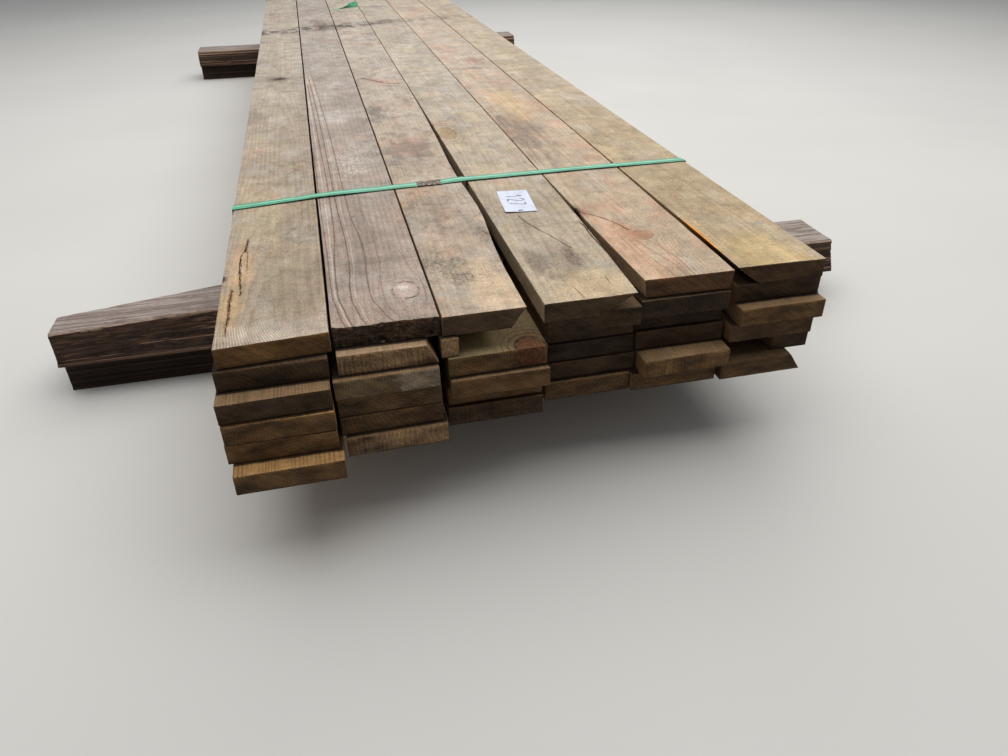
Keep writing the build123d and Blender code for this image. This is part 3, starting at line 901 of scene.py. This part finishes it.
TOP_WOODS = {
    1: Wood(
        rgb(172, 156, 135), rgb(134, 112, 88), rgb(96, 70, 42), (118, 230), 3.4, 0.35,
        top_patches(GREEN_MOULD, 0.54),
        [Knot(88, 2140, 20, 24, rgb(96, 78, 66), rgb(56, 44, 38))],
        stains_and_highlights(
            (196, 184, 168, 105, 34, 110, 40, 0.45, 1.2),
            (158, 148, 122, 120, 260, 60, 150, 0.3, 1.0),
            (206, 172, 122, 22, 140, 24, 110, 0.55, 1.0),
            (198, 160, 118, 36, 330, 28, 130, 0.5, 1.0),
            (150, 138, 124, 90, 2140, 84, 60, 0.6),
            (66, 54, 46, 102, 2150, 30, 26, 0.9, 0.8),
            (132, 118, 112, 28, 1530, 44, 110, 0.45, 1.4, 0.5),
            (116, 108, 92, 110, 420, 60, 110, 0.4, 1.6, 0.7),
            (206, 190, 158, 60, 640, 70, 200, 0.35, 1.2),
            (84, 42, 30, 2, 272, 9, 15, 0.95, 0.3),
        ),
        [
            Line(rgb(96, 66, 42), [(22, 34), (21, 58), (21, 84), (23, 104), (22, 158), (23, 190),
                (24, 222)], 5.0, 0.85, 7.0, True),
            Line(rgb(74, 48, 32), [(40, 190), (36, 262), (34, 305), (33, 352),
                (34, 384)], 3.6, 0.9, 8.0, True),
            Line(rgb(62, 40, 28), [(41, 392), (42, 430), (44, 470)], 4.2, 0.9, 4.0, True),
            Line(rgb(104, 66, 46), [(49, 290), (47, 330), (46, 370), (45, 400)], 2.2, 0.8, 3.0, True),
        ],
        strokes=True,
    ),
    2: Wood(
        rgb(165, 150, 138), rgb(126, 106, 94), rgb(60, 46, 36), (520, 60), 13.0, 0.3,
        top_patches(GREY_MOULD, 0.58, Patch(rgb(160, 140, 124), 60, 0.5, 0.4)),
        [Knot(345, 134, 25, 36, rgb(188, 170, 158), rgb(84, 56, 44), 0.85, 0.1)],
        stains_and_highlights(
            (116, 104, 94, 306, 286, 74, 22, 0.45, 1.4),
            # Painted highlight: a pale spot of sheen in the middle of the knot
            (218, 210, 204, 342, 146, 13, 12, 0.6, 0.8),
            (208, 200, 190, 310, 1000, 70, 150, 0.7, 1.4, 0.95),
            (204, 196, 188, 290, 1490, 90, 90, 0.5, 1.2),
            (84, 72, 62, 320, 3540, 60, 170, 0.6, 1.6, 0.4),
            (112, 94, 80, 262, 2120, 30, 60, 0.5, 1.6, 0.5),
        ),
        [
            Line(GROWTH_LINE, [(226, 14), (214, 90), (208, 170), (208, 330), (205, 600),
                (203, 1100)], 2.0, 0.75),
            Line(GROWTH_LINE, [(238, 14), (226, 90), (219, 170), (222, 320), (228, 450), (229, 650),
                (222, 1200), (208, 2000)], 2.2, 0.75),
            Line(GROWTH_LINE, [(262, 14), (247, 90), (243, 130), (248, 250), (250, 340), (243, 620),
                (236, 1200), (216, 2100)], 2.2, 0.8),
            Line(rgb(116, 88, 74), [(312, 14), (289, 80), (279, 140), (280, 230), (284, 310), (270, 570),
                (258, 1200), (228, 2200)], 2.2, 0.75),
            Line(FAINT_LINE, [(336, 14), (312, 60), (303, 110), (304, 190), (310, 300),
                (296, 600)], 2.0, 0.5),
            Line(FAINT_LINE, [(366, 60), (380, 100), (381, 160), (368, 230), (356, 330)], 2.0, 0.5),
            Line(rgb(214, 202, 190), [(232, 20), (220, 100), (214, 170), (216, 320), (217, 640),
                (212, 1200), (204, 2000)], 2.4, 0.5),
            Line(rgb(210, 198, 186), [(270, 20), (256, 90), (252, 150), (258, 300), (252, 620),
                (246, 1200), (222, 2100)], 2.4, 0.4),
        ],
        torn=True,
    ),
    3: Wood(
        rgb(184, 168, 149), rgb(146, 126, 102), rgb(74, 58, 42), (505, 210), 3.8, 0.3,
        top_patches(GREY_MOULD, 0.52, Patch(rgb(204, 160, 130), 70, 0.54, 0.4)),
        [],
        stains_and_highlights(
            (216, 190, 158, 520, 120, 60, 150, 0.6, 1.0),
            (96, 90, 78, 434, 235, 44, 80, 0.7, 1.6, 0.85),
            (78, 70, 62, 468, 165, 26, 30, 0.75, 1.6, 0.8),
            (122, 114, 104, 440, 470, 48, 90, 0.5, 1.6, 0.6),
            (80, 76, 66, 548, 372, 20, 60, 0.75, 1.4, 0.7),
            (124, 116, 106, 520, 450, 60, 60, 0.45, 1.8, 0.7),
            (208, 180, 160, 470, 360, 60, 90, 0.4, 1.2),
            (182, 148, 132, 478, 1070, 56, 120, 0.6, 1.2),
            (116, 106, 98, 470, 1040, 70, 130, 0.5, 1.8),
            (188, 148, 130, 492, 1985, 66, 62, 0.5, 1.0),
            (112, 108, 104, 424, 1500, 30, 110, 0.55, 1.4),
        ),
        [Line(rgb(76, 46, 36), [(556, 1918), (505, 1952), (462, 2010), (418, 2080)], 7.0, 0.8, 8.0)],
    ),
    4: Wood(
        rgb(182, 168, 148), rgb(144, 124, 100), rgb(66, 52, 36), (700, 230), 3.6, 0.3,
        top_patches(GREY_MOULD, 0.57, Patch(rgb(196, 178, 140), 80, 0.5, 0.4)),
        [Knot(612, 1180, 26, 60, rgb(172, 146, 104), rgb(122, 98, 70), 0.6, 0.6)],
        stains_and_highlights(
            (216, 196, 158, 690, 60, 110, 80, 0.55, 1.0),
            (96, 82, 76, 618, 190, 24, 76, 0.55, 0.8, 0.4),
            (80, 64, 60, 698, 200, 17, 62, 0.85, 0.8, 0.4),
            (100, 86, 76, 662, 110, 40, 26, 0.5, 1.0, 0.5),
            (126, 112, 98, 656, 180, 64, 100, 0.5, 0.9, 0.5),
            (208, 190, 148, 784, 250, 4, 120, 0.7, 0.3),
            (110, 98, 90, 700, 3560, 90, 90, 0.5, 1.6, 0.5),
            (104, 92, 84, 680, 4225, 80, 50, 0.5, 1.6, 0.4),
            (204, 178, 146, 690, 60, 80, 60, 0.5),
        ),
        [
            Line(rgb(70, 52, 38), [(712, 238), (690, 307), (660, 393), (648, 452)], 1.8, 0.8, 2.0),
            Line(rgb(46, 32, 24), [(781, 143), (777, 190), (775, 240), (774, 300), (777, 350),
                (773, 372)], 2.6, 0.9, 0.6),
            Line(rgb(84, 62, 46), [(731, 60), (733, 92)], 1.6, 0.7, 0.8),
            Line(rgb(92, 66, 46), [(664, 12), (661, 40), (655, 74)], 1.4, 0.8, 1.0),
        ],
    ),
    5: Wood(
        rgb(194, 174, 149), rgb(150, 126, 100), rgb(84, 60, 40), (850, 120), 5.0, 0.35,
        top_patches(GREY_MOULD, 0.58, Patch(rgb(200, 156, 130), 90, 0.48, 0.45)),
        [
            Knot(880, 268, 25, 25, rgb(182, 128, 88), rgb(138, 94, 66), 0.6, 0.35),
            Knot(791, 441, 7, 20, rgb(56, 36, 26), rgb(34, 22, 16), 1.0),
        ],
        stains_and_highlights(
            (212, 170, 140, 826, 190, 40, 250, 0.55, 0.6),
            (168, 104, 80, 803, 424, 12, 30, 0.5, 0.8),
            (176, 126, 92, 856, 306, 24, 50, 0.5, 1.4),
            (158, 102, 80, 935, 2290, 40, 90, 0.55, 1.4, 0.4),
            (118, 110, 106, 865, 2125, 80, 34, 0.5, 1.6, 0.4),
            (112, 98, 94, 840, 1100, 62, 260, 0.6, 1.6, 0.4),
            (214, 186, 134, 900, 1500, 60, 260, 0.4, 1.0),
        ),
        [
            Line(rgb(86, 42, 32), [(864, 300), (855, 333), (835, 379), (818, 405),
                (794, 428)], 3.2, 0.85, 3.0),
            Line(RED_LINE, [(900, 20), (906, 80), (902, 150), (893, 205), (880, 240)], 2.6, 0.55, 3.0),
            Line(RED_LINE, [(884, 20), (888, 80), (880, 140), (868, 190), (858, 240)], 2.6, 0.55, 3.0),
            Line(RED_LINE, [(862, 20), (864, 80), (856, 130), (848, 190), (846, 250)], 2.6, 0.5, 3.0),
            Line(RED_LINE, [(842, 20), (843, 80), (838, 140), (836, 200), (830, 300)], 2.4, 0.45, 3.0),
        ],
    ),
    6: Wood(
        rgb(184, 163, 131), rgb(146, 122, 90), rgb(66, 49, 32), (1090, 260), 3.4, 0.3,
        top_patches(GREY_MOULD, 0.57, Patch(rgb(194, 178, 148), 70, 0.48, 0.45)),
        [],
        stains_and_highlights(
            (228, 154, 70, 1003, 235, 9, 100, 0.9, 0.5),
            (202, 176, 120, 1090, 90, 90, 120, 0.5, 1.0),
            (122, 112, 100, 1060, 330, 30, 50, 0.4, 1.8),
        ),
        [],
    ),
}

# How the ends and the faces of the planks below look, from the second layer down: k darkest, d dark,
# n brown, m middling, l light, g grey, where the darker ends are partly painted shade for ends set back
# under the planks above; and o orange, t tan, p pale greenish, b brown, k dark brown, which on the upper
# faces of (1, 2), (5, 2) and (6, 6) is painted shadow under the plank above
END_KINDS = {1: "ddmmm", 2: "lgnnl", 3: "lmmmd", 4: "ddkdn", 5: "kkdmn", 6: "dmndn"}
FACE_KINDS = {1: "kbooo", 2: "tboob", 3: "bpbob", 4: "kbbbb", 5: "kbbbb", 6: "bbbbk"}
STREAKY_ENDS = {(2, 2), (2, 6), (3, 6), (5, 5)}
END_COLOURS = {
    "k": rgb(47, 35, 24),
    "d": rgb(58, 44, 30),
    "n": rgb(77, 58, 38),
    "m": rgb(88, 66, 42),
    "l": rgb(112, 90, 66),
    "g": rgb(88, 74, 54),
}
FACE_COLOURS = {
    "o": (rgb(180, 141, 92), rgb(124, 88, 52)),
    "t": (rgb(172, 144, 114), rgb(136, 106, 80)),
    "p": (rgb(142, 126, 92), rgb(112, 94, 66)),
    "b": (rgb(138, 112, 82), rgb(98, 74, 50)),
    "k": (rgb(92, 74, 52), rgb(64, 50, 34)),
}


# What is special in the look of two lower planks, by column and layer
OWN_LOOKS = {
    (2, 3): {"heart": Heart(378, -98, 74, rgb(128, 113, 94), rgb(108, 94, 76), 9)},
    (3, 3): {
        "contrast": 0.25,
        "knots": [Knot(558, 8, 28, 30, rgb(126, 84, 54), rgb(66, 40, 26), 0.9, 0.7)],
        "heart": Heart(556, -98, 28, rgb(96, 56, 36), rgb(40, 24, 18), 2.6),
    },
}
# Lower planks with no painted shadow along the plank above, whose end is split or leaves a corner of them
# clear
UNSHADOWED_UNDER = {(3, 3), (6, 6), (4, 2)}


def lower_wood(column, layer):
    """The look of a plank below the top layer."""
    draw = np.random.default_rng(100 * column + layer)
    early, late = FACE_COLOURS[FACE_KINDS[column][layer - 2]]
    end = END_COLOURS[END_KINDS[column][layer - 2]]
    pith_x = COLUMN_PITCH * (column - 1) + draw.uniform(-20, 220)
    pith_depth = LAYER_PITCH * (layer - 1) + draw.uniform(-80, 160)
    ring = draw.uniform(5, 9)
    wood = Wood(early, late, end, (pith_x, pith_depth), ring, 0.6 if column == 1 else 0.35)
    return wood._replace(**OWN_LOOKS.get((column, layer), {}))


def make_planks():
    """All planks, the top ones in finer detail than those below."""
    for column, layer in itertools.product(range(1, 7), repeat=2):
        node = f"plank_c{column}_l{layer}"
        seed = 100 * column + layer
        if layer == 1:
            material = wood_finish(node + "_wood", TOP_WOODS[column], seed)
            rough, steps, rows = (5.0, 60, 14) if column == 2 else (0.7, 30, 6)
            plank_mesh(node, material, steps, rows, 4.0, 0.006, seed, CRACKS.get(column, ()), rough)
            continue
        above = None
        if (column, layer) not in UNSHADOWED_UNDER:
            above = plank_sides(f"plank_c{column}_l{layer - 1}")[1].near[:, :2].tolist()
        streaky = (column, layer) in STREAKY_ENDS
        material = wood_finish(node + "_wood", lower_wood(column, layer), seed, False, streaky, above)
        plank_mesh(node, material, 16, 5, 8.0, 0.2, seed)


# Where the straps run: y at the seams between the planks
STRAP_SEAMS = [-4, 195, 394, 593, 792, 991, 1190]
STRAP_LINES = {
    "near": [673, 704, 720, 731, 735, 735, 734],
    "far": [4804, 4802, 4800, 4798, 4796, 4794, 4792],
}
STRAP_WIDTH, STRAP_THICKNESS, STRAP_ARCH = 32, 0.9, 0.25
SEAL_X = 484
LAP_START, LAP_END = SEAL_X - 45, SEAL_X + 93


def swept(middle, side, outward, section, closed=False):
    """A section of (side, outward) places carried along a line, as places and faces."""
    across, out = section[None, :, 0:1], section[None, :, 1:2]
    places = middle[:, None] + side[:, None] * across + outward[:, None] * out
    return places.reshape(-1, 3), tube_faces(*places.shape[:2], closed)


def band_section(steps=9):
    """A strap's section, a little arched, and each place's share across it."""
    share = np.linspace(-1, 1, steps)
    rise = STRAP_ARCH * (1 - share ** 2)
    upper = np.stack([share * STRAP_WIDTH / 2, rise + STRAP_THICKNESS / 2], axis=1)
    lower = np.stack([share * STRAP_WIDTH / 2, rise - STRAP_THICKNESS / 2], axis=1)[::-1]
    return np.concatenate([upper, lower]), np.concatenate([share, share[::-1]])


def round_line(points):
    """The convex line round (x, z) places, against the clock."""
    points = sorted(set((round(x, 2), round(z, 2)) for x, z in points))

    def half(run):
        kept = []
        for x, z in run:
            while len(kept) > 1:
                (x1, z1), (x2, z2) = kept[-2:]
                if (x2 - x1) * (z - z1) - (z2 - z1) * (x - x1) > 0:
                    break
                kept.pop()
            kept.append((x, z))
        return kept[:-1]

    return np.array(half(points) + half(points[::-1]))


def closer(line, longest):
    """The closed line with places added so that none are further apart than this."""
    places = []
    for here, ahead in zip(line, np.roll(line, -1, axis=0)):
        count = max(1, math.ceil(np.linalg.norm(ahead - here) / longest))
        places.extend(here + (ahead - here) * step / count for step in range(count))
    return np.array(places)


def strap_round(end, section):
    """The part of a strap that goes round the pack, lifted a little off the planks, and its ring count."""
    co = pack_places(end + "_strap")
    line = closer(round_line(co[:, [0, 2]]), 14.0)
    x = line[:, 0]
    tangent = unit(np.roll(line, -1, axis=0) - np.roll(line, 1, axis=0))
    outward_xz = np.stack([tangent[:, 1], -tangent[:, 0]], axis=1)
    on_top = line[:, 1] > -2
    near_lap = np.clip(1 - np.abs(x - (LAP_START + LAP_END) / 2) / 220, 0, 1) * on_top
    inset = 0.6 + 0.9 * np.minimum(near_lap * 3, 1)
    middle_xz = line - outward_xz * inset[:, None]
    z = np.where(on_top, np.maximum(middle_xz[:, 1], 0.6), middle_xz[:, 1])
    places = np.stack([middle_xz[:, 0], np.interp(x, STRAP_SEAMS, STRAP_LINES[end]), z], axis=1)
    places[:, 1] += 1.2 * rough_field(places, (150, 1e5, 150), 7 if end == "near" else 8)
    outward = np.stack([outward_xz[:, 0], 0 * x, outward_xz[:, 1]], axis=1)
    tilt = (-0.035 + 0.03 * rough_field(places, (190, 1e5, 120), 17))[:, None]
    clear = np.clip((np.abs(x - SEAL_X) - 34) / 60, 0, 1)
    lifted = on_top * clear * (1.1 + 0.7 * rough_field(places, (120, 1e5, 120), 18))
    places = places + outward * lifted[:, None]
    return swept(places, unit(ALONG_PACK + outward * tilt), outward, section, closed=True)


def strap_lap(end, section):
    """The loose end of a strap, which runs on under the seal and rises a little."""
    x = np.linspace(LAP_START, LAP_END, 24)
    share = (x - SEAL_X) / (LAP_END - SEAL_X)
    lift = 1.9 + 0.8 * np.clip(share * 3 - 1.1, 0, 1) + 1.1 * np.clip(share - 0.35, 0, 1) ** 1.5
    y = np.interp(x, STRAP_SEAMS, STRAP_LINES[end]) + 2.2 * np.clip(share, 0, 1)
    lap = np.stack([x, y, lift], axis=1)
    return swept(lap, ALONG_PACK, unit(np.cross(unit(np.gradient(lap, axis=0)), ALONG_PACK)), section)


def make_strap(end, material):
    """A strap round the pack, lapped under the seal, which remembers how far across each place is."""
    section, shares = band_section()
    places, faces = join_parts([strap_round(end, section), strap_lap(end, section)])
    made = make_piece(end + "_strap_band", places, faces, material, 50, "strap_plastic", end + "_strap")
    across = made.data.attributes.new("across", "FLOAT", "POINT")
    across.data.foreach_set("value", np.tile(shares, len(places) // len(shares)))


def make_seal(end, material, seed):
    """The crimped sleeve of a strap, nipped at its edges and crumpled by the tool."""
    seal_z = np.array(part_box(end + "_seal"))[:, 2].mean() * PER_METRE - PACK_ORIGIN[2] * PER_METRE
    before, middle_y, after = np.interp([SEAL_X - 30, SEAL_X, SEAL_X + 30], STRAP_SEAMS, STRAP_LINES[end])
    slope = (after - before) / 60
    along = np.linspace(-31, 31, 45)[:, None]
    turn = np.linspace(0, 2 * math.pi, 28, endpoint=False)
    side = np.sign(np.cos(turn)) * np.abs(np.cos(turn)) ** 0.35
    upward = np.sign(np.sin(turn)) * np.abs(np.sin(turn)) ** 0.6
    nip = np.exp(-((np.abs(along) - 10) / 2.6) ** 2)
    half_width, half_thick = 18.5 - 2.3 * nip, 1.75 + 0.12 * nip
    grid = np.stack(np.broadcast_arrays(along, half_width * side, half_thick * upward), axis=-1)
    dents = 0.45 * np.abs(layered_field(grid, (9, 8, 30), seed)) + 0.4 * nip * (1 - np.abs(side) ** 3)
    grid[:, :, 2] -= np.where(grid[:, :, 2] > 0, dents, 0)
    grid[:, :, 0] += 0.8 * rough_field(grid, (40, 7, 40), seed + 2)
    grid[:, :, 1] += middle_y + slope * grid[:, :, 0]
    grid += np.array([SEAL_X, 0, seal_z])
    faces = tube_faces(*grid.shape[:2])
    make_piece(end + "_seal_sleeve", grid.reshape(-1, 3), faces, material, 40, "seal_steel", end + "_seal")


TAG_MIDDLE = (669.0, 541.0)
TAG_TURN = math.radians(-5)
TAG_WIDTH, TAG_LENGTH = 76.0, 150.0
DIGIT_TALL, DIGIT_WIDE, DIGIT_PITCH, DIGITS_LEFT, PEN_WIDTH = 40.0, 19.0, 26.0, 44.0, 3.2

# Pen strokes of plain digits, each in a square of one by one
DIGITS = {
    "1": [(0.2, 0.72), (0.5, 0.88), (0.62, 1), (0.6, 0.5), (0.52, 0)],
    "2": [(0.1, 0.75), (0.3, 0.98), (0.7, 1), (0.9, 0.78), (0.8, 0.55), (0.1, 0.02), (0.95, 0)],
    "7": [(0.05, 0.97), (0.92, 1), (0.6, 0.5), (0.4, 0)],
}


def tag_height(u, v):
    """How high the card lies over the plank, at (u, v) from its middle: its near left corner curls up."""
    corner = np.clip(1 - np.hypot(u + TAG_WIDTH / 2, (v + TAG_LENGTH / 2) * 0.8) / 52, 0, 1)
    buckle = 0.35 + 0.3 * np.sin(u * 0.07 + 0.6) * np.sin(v * 0.045)
    near_edge = np.clip((-v - 40) / 35, 0, 1)
    return 0.25 + buckle + 0.9 * near_edge ** 2 + 2.1 * corner ** 1.4


def tag_place(u, v, rise=0.0):
    """A place on the card, in the pack's places."""
    x = TAG_MIDDLE[0] + u * math.cos(TAG_TURN) - v * math.sin(TAG_TURN)
    y = TAG_MIDDLE[1] + u * math.sin(TAG_TURN) + v * math.cos(TAG_TURN)
    return np.stack([x, y, tag_height(u, v) + rise], axis=-1)


def stroke(points, width):
    """One pen stroke along (u, v) places on the card."""
    points = np.array(points, float)
    reach = np.concatenate([[0], np.cumsum(np.linalg.norm(np.diff(points, axis=0), axis=1))])
    steps = np.linspace(0, reach[-1], max(8, int(reach[-1] / 1.5)))
    u, v = np.interp(steps, reach, points[:, 0]), np.interp(steps, reach, points[:, 1])
    kernel = np.array([1, 2, 1]) / 4
    for _ in range(2):
        u[1:-1], v[1:-1] = np.convolve(u, kernel, "valid"), np.convolve(v, kernel, "valid")
    middle = tag_place(u, v, 0.2)
    side = unit(np.cross(UPWARD, unit(np.gradient(middle, axis=0))))
    half = width / 2
    section = np.array([(-half, 0.05), (half, 0.05), (half, -0.05), (-half, -0.05)])
    return swept(middle, side, UPWARD, section)


def make_tag(paper, ink):
    """The card with a plain number in ink, curled at one corner."""
    count_u, count_v, half_thick = 20, 36, 0.1
    u = np.linspace(-TAG_WIDTH / 2, TAG_WIDTH / 2, count_u)
    v = np.linspace(-TAG_LENGTH / 2, TAG_LENGTH / 2, count_v)
    u, v = np.meshgrid(u, v, indexing="ij")
    sheets = np.stack([tag_place(u, v, -half_thick), tag_place(u, v, half_thick)], axis=1)
    outside, card_faces = block_faces(count_u, 2, count_v)
    parts = [(sheets[outside], card_faces)]
    for number, digit in enumerate("127"):
        left = DIGITS_LEFT - number * DIGIT_PITCH
        points = [(DIGIT_TALL * (up - 0.5), left - DIGIT_WIDE * along) for along, up in DIGITS[digit]]
        parts.append(stroke(points, PEN_WIDTH))
    places, faces = join_parts(parts)
    made = make_piece("lot_tag_card", places, faces, paper, 40, "tag_paper", "lot_tag")
    made.data.materials.append(ink)
    indices = np.zeros(len(made.data.polygons), np.int32)
    indices[len(card_faces):] = 1
    made.data.polygons.foreach_set("material_index", indices)


def make_staple(material):
    """The staple that holds the card."""
    u = np.linspace(-6, 6, 9)
    middle = tag_place(u, 1.5 * u / 6 - 66.0, 0.45)
    side = unit(np.cross(UPWARD, unit(np.gradient(middle, axis=0))))
    section = np.array([(2.0, -0.3), (2.0, 0.1), (0, 0.4), (-2.0, 0.1), (-2.0, -0.3)])
    places, faces = swept(middle, side, UPWARD, section)
    make_piece("lot_tag_staple", places, faces, material, 40, "seal_steel")


# The bearers, two timbers on each other, measured from the pack's own places
FLOOR_Z = -424
TIMBER_WIDE, TIMBER_TALL, TIMBER_HALF_LENGTH, TIMBER_MIDDLE_X = 203, 89, 1067, 593
TOP_TIMBER_FOOT = FLOOR_Z + TIMBER_TALL
TOP_TIMBER_TOP = TOP_TIMBER_FOOT + TIMBER_TALL

# Each top timber's front face and its wear at shares of half the length: how far its front edge and ledge
# are set back, how high the ledge and the lip under it are, and how the back edge is set in and lowered
TOP_TIMBERS = {
    "front_bearer_top": (
        604.5, {-1.0: (8, 5, 12, 6, 104, 62), -0.6: (54, 38, 52, 6, 8, 8), 1.0: (26, 20, 56, 10, 8, 8)},
    ),
    "rear_bearer_top": (4419.5, {-1.0: (30, 6, 58, 8, 12, 8), 1.0: (22, 5, 62, 8, 20, 12)}),
}
BASE_TIMBERS = {"front_bearer_base": 639.5, "rear_bearer_base": 4454.5}


def worn_section(front_y, wear):
    """The outline of a worn top timber's section, from the front foot over the top to the back foot."""
    front_set, ledge_set, ledge_height, lip_height, back_set, back_drop = wear
    foot, top, back_y = TOP_TIMBER_FOOT, TOP_TIMBER_TOP, front_y + TIMBER_WIDE
    ledge = np.array([front_y + ledge_set, foot + ledge_height])
    edge = np.array([front_y + front_set, top])
    below = edge + (ledge - edge) * 5 / np.linalg.norm(ledge - edge)
    return np.array([
        (front_y, foot), (front_y, foot + lip_height), ledge, below, edge + (5, 0),
        (back_y - back_set, top), (back_y, top - back_drop), (back_y, foot),
    ], float)


def square_section(front_y):
    """The outline of a base timber's section, in the same order."""
    low, high, back_y, bevel = FLOOR_Z, TOP_TIMBER_FOOT, front_y + TIMBER_WIDE, 6
    return np.array([
        (front_y, low), (front_y, high - bevel), (front_y + bevel, high),
        (back_y - bevel, high), (back_y, high - bevel), (back_y, low),
    ], float)


def even_ring(corners, counts):
    """Places along a closed outline, with this many on each of its sides."""
    ring = []
    for here, ahead, count in zip(corners, np.roll(corners, -1, axis=0), counts):
        ring.extend(here + (ahead - here) * step / count for step in range(count))
    return np.array(ring)


def timber_mesh(node, section_at, counts, foot_z, material, seed, grooves=()):
    """A timber drawn through its sections, with raised grain, splits, worn corners and grooves along it."""
    shares = np.concatenate([[-1.0, -0.998, -0.994], np.linspace(-0.985, 0.985, 170), [0.994, 0.998, 1.0]])
    rings = np.array([even_ring(section_at(share), counts) for share in shares])
    x = TIMBER_MIDDLE_X + TIMBER_HALF_LENGTH * shares
    places = np.concatenate([np.broadcast_to(x[:, None, None], rings.shape[:2] + (1,)), rings], axis=2)
    inward = unit((rings.mean(axis=1, keepdims=True) - rings).reshape(-1, 2)).reshape(rings.shape)
    grain = np.abs(layered_field(places, (700, 9, 9), seed, 3))
    split = np.clip(rough_field(places, (900, 26, 26), seed + 5) - 0.45, 0, 1) * 9
    worn = 0.6 * (1 + rough_field(places, (60, 30, 30), seed + 6))
    depth = 1.3 * grain + split + worn
    depth[:, list(grooves)] += 2.2
    depth[[0, 1, -2, -1]] += np.array([2.5, 0.8, 0.8, 2.5])[:, None]
    above_foot = np.clip((places[..., 2] - foot_z) / 6, 0, 1)
    places[..., 1:] += inward * (depth * above_foot)[..., None]
    faces = tube_faces(*places.shape[:2], reverse=True)
    make_piece(node + "_timber", places.reshape(-1, 3), faces, material, 40, "bearer_wood", node)


def make_bearers():
    """The two pairs of bearer timbers."""
    for number, (node, (front_y, wear)) in enumerate(TOP_TIMBERS.items()):
        stations = list(wear)
        sections = np.array([worn_section(front_y, values) for values in wear.values()])

        def section_at(share, stations=stations, sections=sections):
            corners = sections.reshape(len(stations), -1).T
            return np.array([np.interp(share, stations, values) for values in corners]).reshape(-1, 2)

        material = weathered_finish(node + "_grey", 2 * number)
        counts, grooves = (2, 10, 8, 2, 24, 3, 8, 24), range(3, 12, 2)
        timber_mesh(node, section_at, counts, TOP_TIMBER_FOOT, material, 50 + number, grooves)
    for number, (node, front_y) in enumerate(BASE_TIMBERS.items()):
        section = square_section(front_y)
        # The base timbers get a darker copy of the finish: painted shade
        material = weathered_finish(node + "_grey", 2 * number + 1, 0.38)
        counts = (16, 3, 24, 3, 16, 24)
        timber_mesh(node, lambda share, section=section: section, counts, FLOOR_Z, material, 60 + number)


def dress_node(node, material):
    """Give a CAD node its finish and leave its shape."""
    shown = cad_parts[node]
    shown.data.materials.clear()
    shown.data.materials.append(material)


def area_light(name, place, target, size, power, colour=(1, 1, 1)):
    data = bpy.data.lights.new(name, "AREA")
    data.shape = "RECTANGLE"
    data.size, data.size_y = size
    data.energy = power
    data.color = colour
    lamp = bpy.data.objects.new(name, data)
    lamp.location = place
    lamp.rotation_euler = (Vector(target) - Vector(place)).to_track_quat("-Z", "Y").to_euler()
    bpy.context.scene.collection.objects.link(lamp)


def make_stage():
    """Pale floor, and soft light from above and behind."""
    half = 14.0
    corners = [(-half, -half, 0), (half, -half, 0), (half, half, 0), (-half, half, 0)]
    make_object("floor", corners, [(0, 1, 2, 3)], floor_finish())
    world = bpy.data.worlds.new("soft_sky")
    bpy.context.scene.world = world
    world.use_nodes = True
    background = world.node_tree.nodes["Background"]
    background.inputs["Color"].default_value = (0.9, 0.95, 1.0, 1.0)
    background.inputs["Strength"].default_value = 0.3
    area_light("sky_above", (0.3, -0.9, 4.6), (0, -0.9, 0), (7, 8), 350, (1.0, 0.98, 0.95))
    area_light("sky_back", (2.0, 4.5, 4.2), (0, -1.6, 0.3), (6, 4), 120)
    bpy.context.scene.view_settings.view_transform = "Standard"


def make_camera():
    """The camera, where the photo was taken from."""
    pitch, yaw, roll = (math.radians(angle) for angle in (33.277, 13.3315, -0.746))
    ahead = Vector((math.sin(yaw) * math.cos(pitch), math.cos(yaw) * math.cos(pitch), -math.sin(pitch)))
    side = Vector((math.cos(yaw), -math.sin(yaw), 0))
    above = side.cross(ahead)
    right = math.cos(roll) * side + math.sin(roll) * above
    top = -math.sin(roll) * side + math.cos(roll) * above
    turn = Matrix((right, top, -ahead)).transposed().to_4x4()
    data = bpy.data.cameras.new("photo_camera")
    data.sensor_fit = "HORIZONTAL"
    data.sensor_width = 36
    data.lens = 26.827
    camera = bpy.data.objects.new("photo_camera", data)
    camera.matrix_world = Matrix.Translation((-0.36443, -3.89623, 1.06644)) @ turn
    bpy.context.scene.collection.objects.link(camera)
    bpy.context.scene.camera = camera


make_planks()
make_bearers()
green = strap_finish("strap_green")
steel = seal_finish()
for number, end in enumerate(("near", "far")):
    make_strap(end, green)
    make_seal(end, steel, 30 + number)
# The loose end has a brighter copy of the strap's finish: painted light
dress_node("loose_strap_end", strap_finish("strap_green_end_painted_light", 1.6))
make_tag(paper_finish(), ink_finish())
make_staple(staple_finish())
make_stage()
make_camera()
